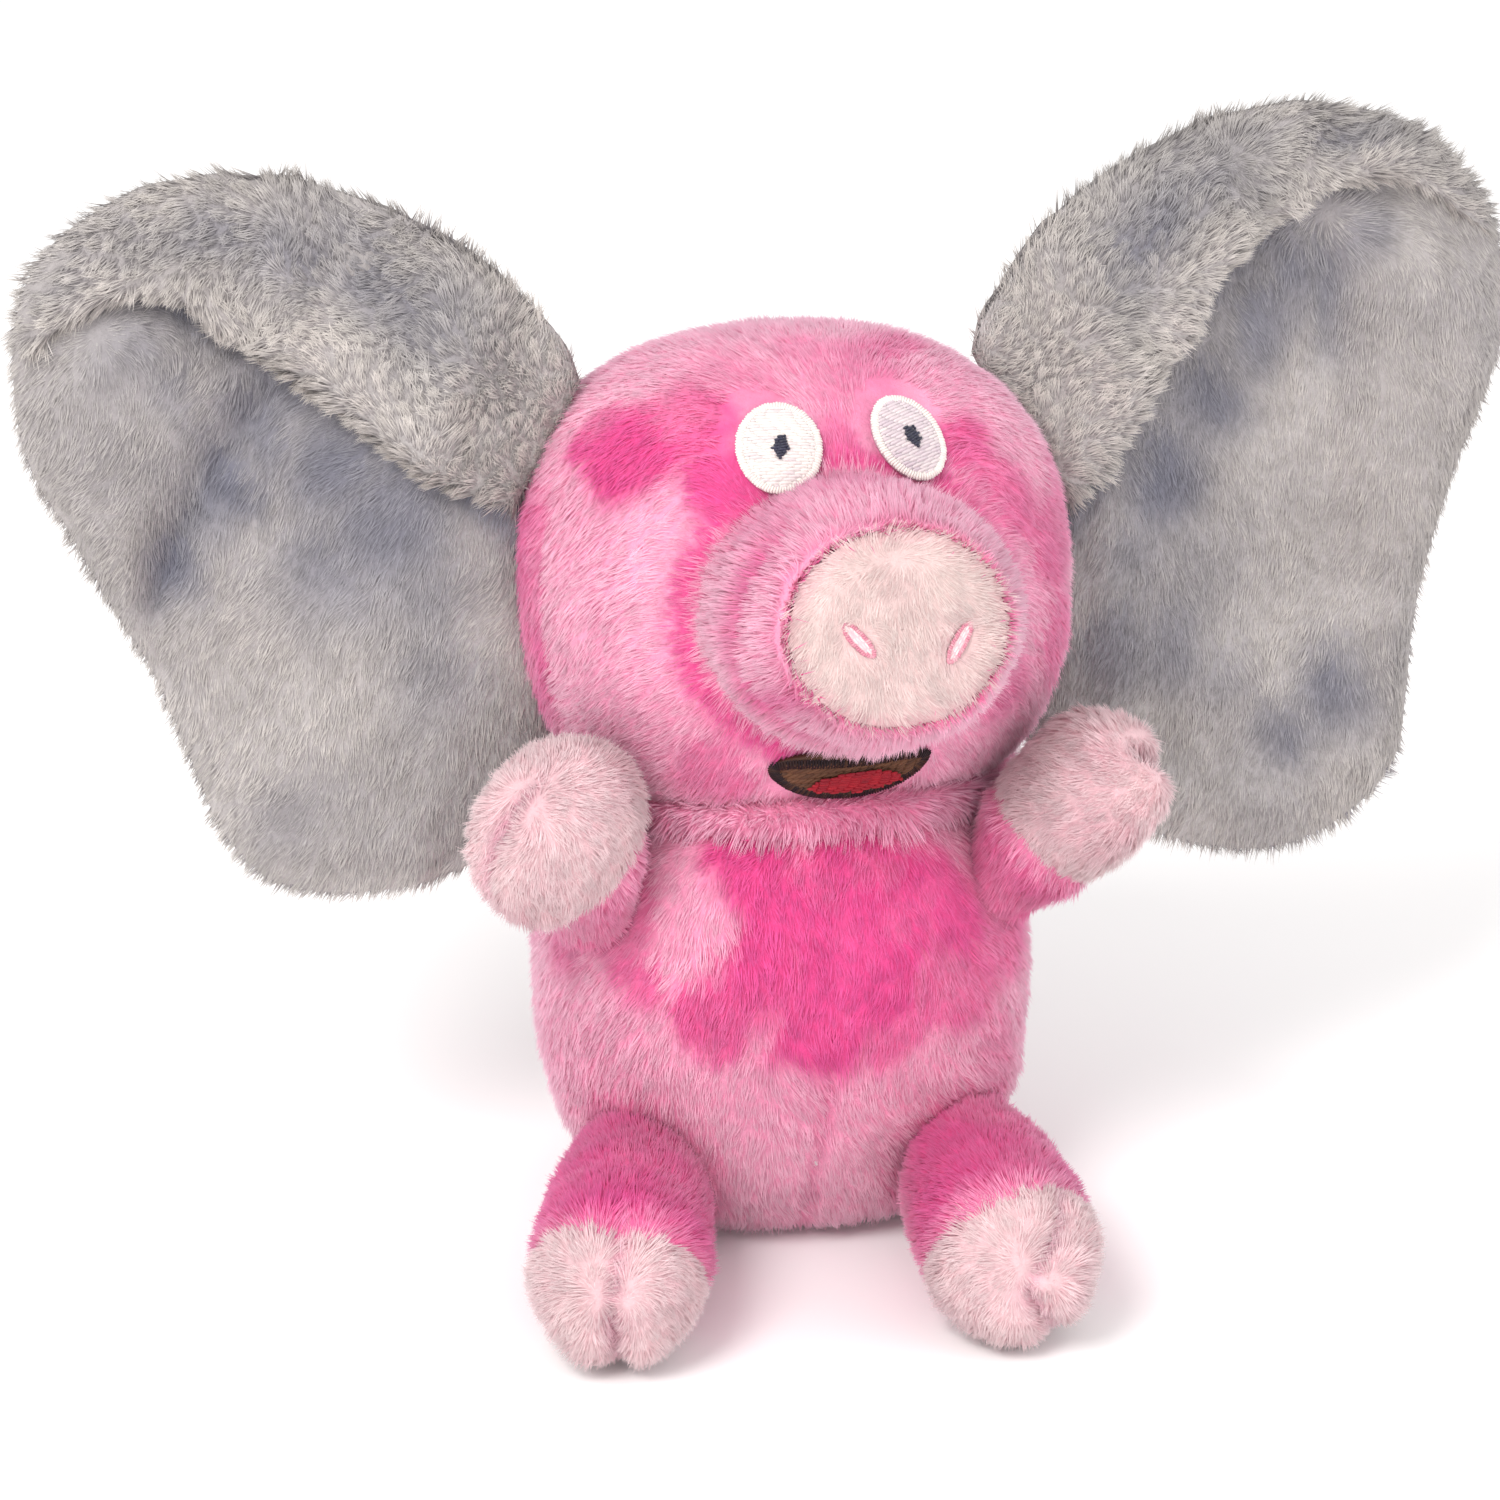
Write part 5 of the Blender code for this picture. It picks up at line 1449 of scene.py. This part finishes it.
class Stitches:
    """Collects stitches, each a low rounded thread, in a patch's own plane."""

    def __init__(self, seed):
        self.rng = np.random.default_rng(seed)
        self.v, self.t, self.tone = [], [], []
        self.dye = 0.5

    def base(self, half, thick, crown, bumps=0.0, inside=None):
        """The cloth patch below the stitches: a low cushion with an oval outline."""
        rings, around = 10, 56
        start = len(self.v)
        a = np.arange(around) / around * 2 * np.pi
        for k in range(1, rings + 1):
            r = k / rings
            for b in a:
                self.v.append((half[0] * r * math.cos(b), half[1] * r * math.sin(b), thick + crown * (1 - r * r)))
        self.v.append((0, 0, thick + crown))
        top = len(self.v) - 1
        for b in a:
            self.v.append((half[0] * math.cos(b), half[1] * math.sin(b), 0.0))
        low = top + 1
        self.v.append((0, 0, 0.0))
        bottom = len(self.v) - 1
        for q in range(around):
            m = (q + 1) % around
            self.t.append((top, start + q, start + m))
            for k in range(rings - 1):
                i, j = start + k * around, start + (k + 1) * around
                self.t += [(i + q, j + q, j + m), (i + q, j + m, i + m)]
            i = start + (rings - 1) * around
            self.t += [(i + q, low + q, low + m), (i + q, low + m, i + m)]
            self.t.append((bottom, low + m, low + q))
        self.tone += [self.dye] * (len(self.v) - start)

    def stitch(self, a, b, wide, high, z0, z1=None):
        """A thread from a to b that dives into the cloth at both ends."""
        a, b = np.array(a, float), np.array(b, float)
        z1 = z0 if z1 is None else z1
        d = b - a
        length = np.linalg.norm(d)
        if length < 0.15:
            return
        d = d / length
        n = np.array([-d[1], d[0]])
        tone = float(np.clip(self.dye + self.rng.normal(0, 0.16), 0, 1))
        start = len(self.v)
        stops = ((0.0, -0.12, 0.35), (0.16, 0.8, 0.9), (0.5, 1.0, 1.0), (0.84, 0.8, 0.9), (1.0, -0.12, 0.35))
        for u, up, w in stops:
            p = a + d * length * u
            z = z0 + (z1 - z0) * u
            for side, lift in ((1, 0.0), (0.55, 0.8), (0, 1.0), (-0.55, 0.8), (-1, 0.0)):
                q = p + n * wide / 2 * side * w
                self.v.append((q[0], q[1], z + high * up * lift - 0.06))
        for i in range(len(stops) - 1):
            for j in range(4):
                p0 = start + i * 5 + j
                self.t += [(p0, p0 + 1, p0 + 6), (p0, p0 + 6, p0 + 5)]
        self.tone += [tone] * (len(self.v) - start)

    def rows(self, inside, half, pitch, length, wide, high, level, angle=0.0, jag=0.0):
        """Fills an outline with rows of stitches, each row offset from the last."""
        ca, sa = math.cos(angle), math.sin(angle)
        reach = max(half) * 1.2
        y, row = -reach, 0
        while y < reach:
            run, steps = [], np.arange(-reach, reach, 0.08)
            pts = np.stack([steps * ca - y * sa, steps * sa + y * ca], 1)
            ok = inside(pts)
            if ok.any():
                idx = np.nonzero(ok)[0]
                splits = np.split(idx, np.nonzero(np.diff(idx) > 1)[0] + 1)
                for part in splits:
                    lo, hi = steps[part[0]], steps[part[-1]]
                    lo += self.rng.normal(0, jag)
                    hi += self.rng.normal(0, jag)
                    x = lo - (row % 3) * length / 3
                    while x < hi:
                        x0, x1 = max(x, lo), min(x + length * 1.04, hi)
                        if x1 - x0 > 0.25:
                            mx, my = (x0 + x1) / 2 * ca - y * sa, (x0 + x1) / 2 * sa + y * ca
                            z = level(mx, my)
                            shift = self.rng.normal(0, 0.025)
                            self.stitch(
                                (x0 * ca - (y + shift) * sa, x0 * sa + (y + shift) * ca),
                                (x1 * ca - (y - shift) * sa, x1 * sa + (y - shift) * ca),
                                wide, high * self.rng.uniform(0.85, 1.15), z,
                            )
                        x += length
            y += pitch
            row += 1

    def border(self, outline, centre, deep, pitch, wide, high, level, slant=0.15):
        """Satin stitches side by side across the edge of an outline."""
        q = np.array(outline, float)
        loop = np.concatenate([q, q[:1]])
        d = np.concatenate([[0], np.cumsum(np.linalg.norm(np.diff(loop, axis=0), axis=1))])
        count = int(d[-1] / pitch)
        for k in range(count):
            s0 = d[-1] * k / count
            p = np.array([np.interp(s0, d, loop[:, i]) for i in range(2)])
            p2 = np.array([np.interp((s0 + 0.3) % d[-1], d, loop[:, i]) for i in range(2)])
            along_edge = unit(p2 - p)
            inward = np.array([-along_edge[1], along_edge[0]])
            if inward @ (np.array(centre) - p) < 0:
                inward = -inward
            out = p - inward * (0.12 + self.rng.normal(0, 0.05))
            end = p + inward * (deep + self.rng.normal(0, 0.06)) + along_edge * slant
            m = (out + end) / 2
            self.stitch(out, end, wide, high * self.rng.uniform(0.9, 1.1), level(*out) , level(*end))

    def piece(self, name, m, material, replaced, curve=None):
        v = np.array(self.v, float)
        if curve is not None:
            v[:, 2] += curve(v[:, 0], v[:, 1])
        tone = np.array(self.tone)
        ob = solid(name, to_world(m, v), np.array(self.t), material, {"tone": tone})
        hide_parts(*replaced)
        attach(ob, "head")
        return ob


def oval(half, count=72):
    a = np.arange(count) / count * 2 * np.pi
    return np.stack([half[0] * np.cos(a), half[1] * np.sin(a)], 1)


def in_oval(half, shrink=0.0):
    return lambda p: (p[:, 0] / (half[0] - shrink)) ** 2 + (p[:, 1] / (half[1] - shrink)) ** 2 < 1


def bend_of(x, z):
    """How the flat patch follows the curve of the head below it, about its middle."""
    rx, ry = 46.0, 44.0
    return lambda a, b: -(a**2) / (2 * rx) - (b**2) / (2 * ry)


EYE = {  # half width and height, place on the face, slant, and how much painted shade darkens its thread
    "left": ((5.3, 7.1), 11.0, 17.0, 0.75),
    "right": ((6.4, 7.3), -9.0, -3.0, 0.25),
}
for side, s in (("left", 1), ("right", -1)):
    half, at, slant, painted_shade = EYE[side]
    m = face_frame(at, 24.6, -0.65, slant)
    level = lambda a, b: 0.85 + 0.42 * (1 - min(1.0, (a / half[0]) ** 2 + (b / half[1]) ** 2))
    eye = Stitches(700 + s)
    # the eye's rows take the lilac tone: painted shade of the satin thread, more on the left eye
    eye.dye = painted_shade
    eye.base((half[0] - 0.1, half[1] - 0.1), 0.75, 0.42)
    eye.rows(in_oval(half, 0.9), half, 0.5, 2.0, 0.56, 0.3, level)
    eye.dye = 0.04
    eye.border(oval(half), (0, 0), 1.15, 0.44, 0.5, 0.4, lambda a, b: 0.9)
    eye.piece(f"eye_{side}_stitches", m, cream_thread, [f"eye_{side}"], bend_of(10, 25))
    pup = Stitches(710 + s)
    pup.base((0.9, 1.6), 0.1, 0.15)
    pup.rows(in_oval((1.15, 1.95)), (1.8, 2.2), 0.42, 1.4, 0.5, 0.34, lambda a, b: 0.22, 0.12, 0.22)
    m2 = shifted(m, 0.1, -0.3, 1.36)
    pup.piece(f"pupil_{side}_stitches", m2, navy_thread, [f"pupil_{side}"])

mouth_half = (12.6, 4.4)
m = face_frame(0, -24.8, -0.25)


def mouth_outline(count=90):
    """A wide smile: a nearly straight top and a deep curved bottom."""
    a = np.arange(count) / count * 2 * np.pi
    x = 12.6 * np.sign(np.cos(a)) * np.abs(np.cos(a)) ** 0.82
    y = np.where(np.sin(a) > 0, 2.9 * np.sin(a), 5.2 * np.sin(a)) + 1.1 * (x / 12.6) ** 2
    return np.stack([x, y], 1)


outline = mouth_outline()


def in_mouth(p, shrink=0.9):
    x = p[:, 0] / (12.6 - shrink)
    lift = 1.1 * (p[:, 0] / 12.6) ** 2
    y = p[:, 1] - lift
    y = np.where(y > 0, y / (2.9 - shrink * 0.5), y / (5.2 - shrink))
    return np.abs(x) ** 2.4 + y**2 < 1


mouth_piece = Stitches(720)
mouth_piece.base((12.4, 4.3), 0.7, 0.25)
mouth_level = lambda a, b: 0.9
mouth_piece.dye = 0.12
mouth_piece.rows(in_mouth, (13, 6), 0.48, 2.2, 0.54, 0.3, mouth_level, 0.5)
mouth_piece.dye = 0.95
mouth_piece.border(outline, (0, 0), 1.7, 0.42, 0.5, 0.42, lambda a, b: 0.9)
mouth_piece.piece("mouth_stitches", m, brown_thread, ["mouth_patch"], bend_of(0, -25))
tongue = Stitches(730)
tongue.base((6.6, 1.5), 0.12, 0.2)
tongue.rows(in_oval((7.1, 2.0)), (7, 2), 0.46, 1.6, 0.52, 0.32, lambda a, b: 0.28, 0.0, 0.3)
tongue.piece("tongue_stitches", shifted(turned_about(m, "Z", 3.0), 0.6, -1.35, 1.2), red_thread, ["tongue_patch"])

for side, s in (("left", 1), ("right", -1)):
    x, y, turn = NOSTRIL[s]
    h = SNOUT_TIP - 2.3 + 2.6 + 1.9 * (1 - (math.hypot(x, y / 0.88) / 16.1) ** 2.8) - 0.5 - 0.75
    m = shifted(SNOUT, x, y, h)
    m = turned_about(m, "Y", s * 9.0)
    m = turned_about(m, "Z", turn)
    slot_piece = Stitches(740 + s)
    slot_piece.base((0.85, 3.2), 0.12, 0.1)
    slot_piece.dye = 0.95
    slot_piece.border(oval((1.15, 3.5), 48), (0, 0), 0.55, 0.36, 0.42, 0.34, lambda a, b: 0.2)
    slot_piece.dye = 0.1
    slot_piece.rows(in_oval((0.75, 3.0)), (1, 3), 0.4, 1.2, 0.44, 0.2, lambda a, b: 0.14, 1.57)
    slot_piece.piece(f"nostril_{side}_stitches", m, rose_thread, [f"nostril_{side}"])

# ------------------------------------------------------------ what the skins hide
for name, ob in nodes.items():
    if ob.hide_render:
        continue
    if name == "bean_bag":
        look, slot = pouch, "pouch_cloth"
    elif name.endswith("_seam"):
        look, slot = grey_roll, "grey_plush"
    else:
        look, slot = stuffing, "stuffing"
    ob.data.materials.clear()
    ob.data.materials.append(look)

# ------------------------------------------------------------ floor, light, camera
m, nt, p = bare("studio_floor")
tint = mixed(nt, "MIX", grain(nt, 3.0, 2.0), (0.95, 0.94, 0.94), (0.975, 0.965, 0.965))
nt.links.new(tint, p.inputs["Base Color"])
p.inputs["Roughness"].default_value = 0.9
p.inputs["Specular IOR Level"].default_value = 0.1
size = 6000.0
floor = solid(
    "studio_floor",
    np.array([(-size, -size, 0), (size, -size, 0), (size, size, 0), (-size, size, 0)], float),
    np.array([(0, 1, 2), (0, 2, 3)]),
    m,
)

world = bpy.data.worlds.new("studio")
scene.world = world
world.use_nodes = True
back_light = world.node_tree.nodes.get("Background") or world.node_tree.nodes.new("ShaderNodeBackground")
back_light.inputs["Color"].default_value = (1.0, 0.995, 0.99, 1)
back_light.inputs["Strength"].default_value = 0.98


def softbox(name, at, aim, size, power, colour):
    light = bpy.data.lights.new(name, "AREA")
    light.shape = "DISK"
    light.size = size
    light.energy = power
    light.color = colour
    ob = bpy.data.objects.new(name, light)
    scene.collection.objects.link(ob)
    z = unit(np.array(at, float) - np.array(aim, float))
    x = unit(np.cross((0, 0, 1), z))
    m = np.eye(4)
    m[:3, 0], m[:3, 1], m[:3, 2], m[:3, 3] = x, np.cross(z, x), z, at
    ob.matrix_world = Matrix(m.tolist())


softbox("key", (-0.55, -0.75, 0.95), (0, 0, 0.08), 0.55, 10.0, (1.0, 0.99, 0.97))
softbox("front", (-0.15, -1.2, 0.22), (0, 0, 0.05), 0.6, 3.9, (1.0, 0.99, 0.98))
softbox("fill", (0.8, -0.7, 0.5), (0, 0, 0.08), 0.7, 2.0, (0.96, 0.97, 1.0))

camera = bpy.data.cameras.new("camera")
camera.sensor_width = 36
camera.lens = 132.6
camera.clip_start, camera.clip_end = 0.01, 50
cam = bpy.data.objects.new("camera", camera)
scene.collection.objects.link(cam)
az, el, away = math.radians(-8), math.radians(20), 0.85
way = np.array([math.sin(az) * math.cos(el), -math.cos(az) * math.cos(el), math.sin(el)])
target = np.array([-0.005, 0.0, 0.0736])
x = np.array([math.cos(az), math.sin(az), 0])
m = np.eye(4)
m[:3, 0], m[:3, 1], m[:3, 2], m[:3, 3] = x, np.cross(way, x), way, target + way * away
cam.matrix_world = Matrix(m.tolist())
scene.camera = cam
scene.view_settings.view_transform = "Standard"
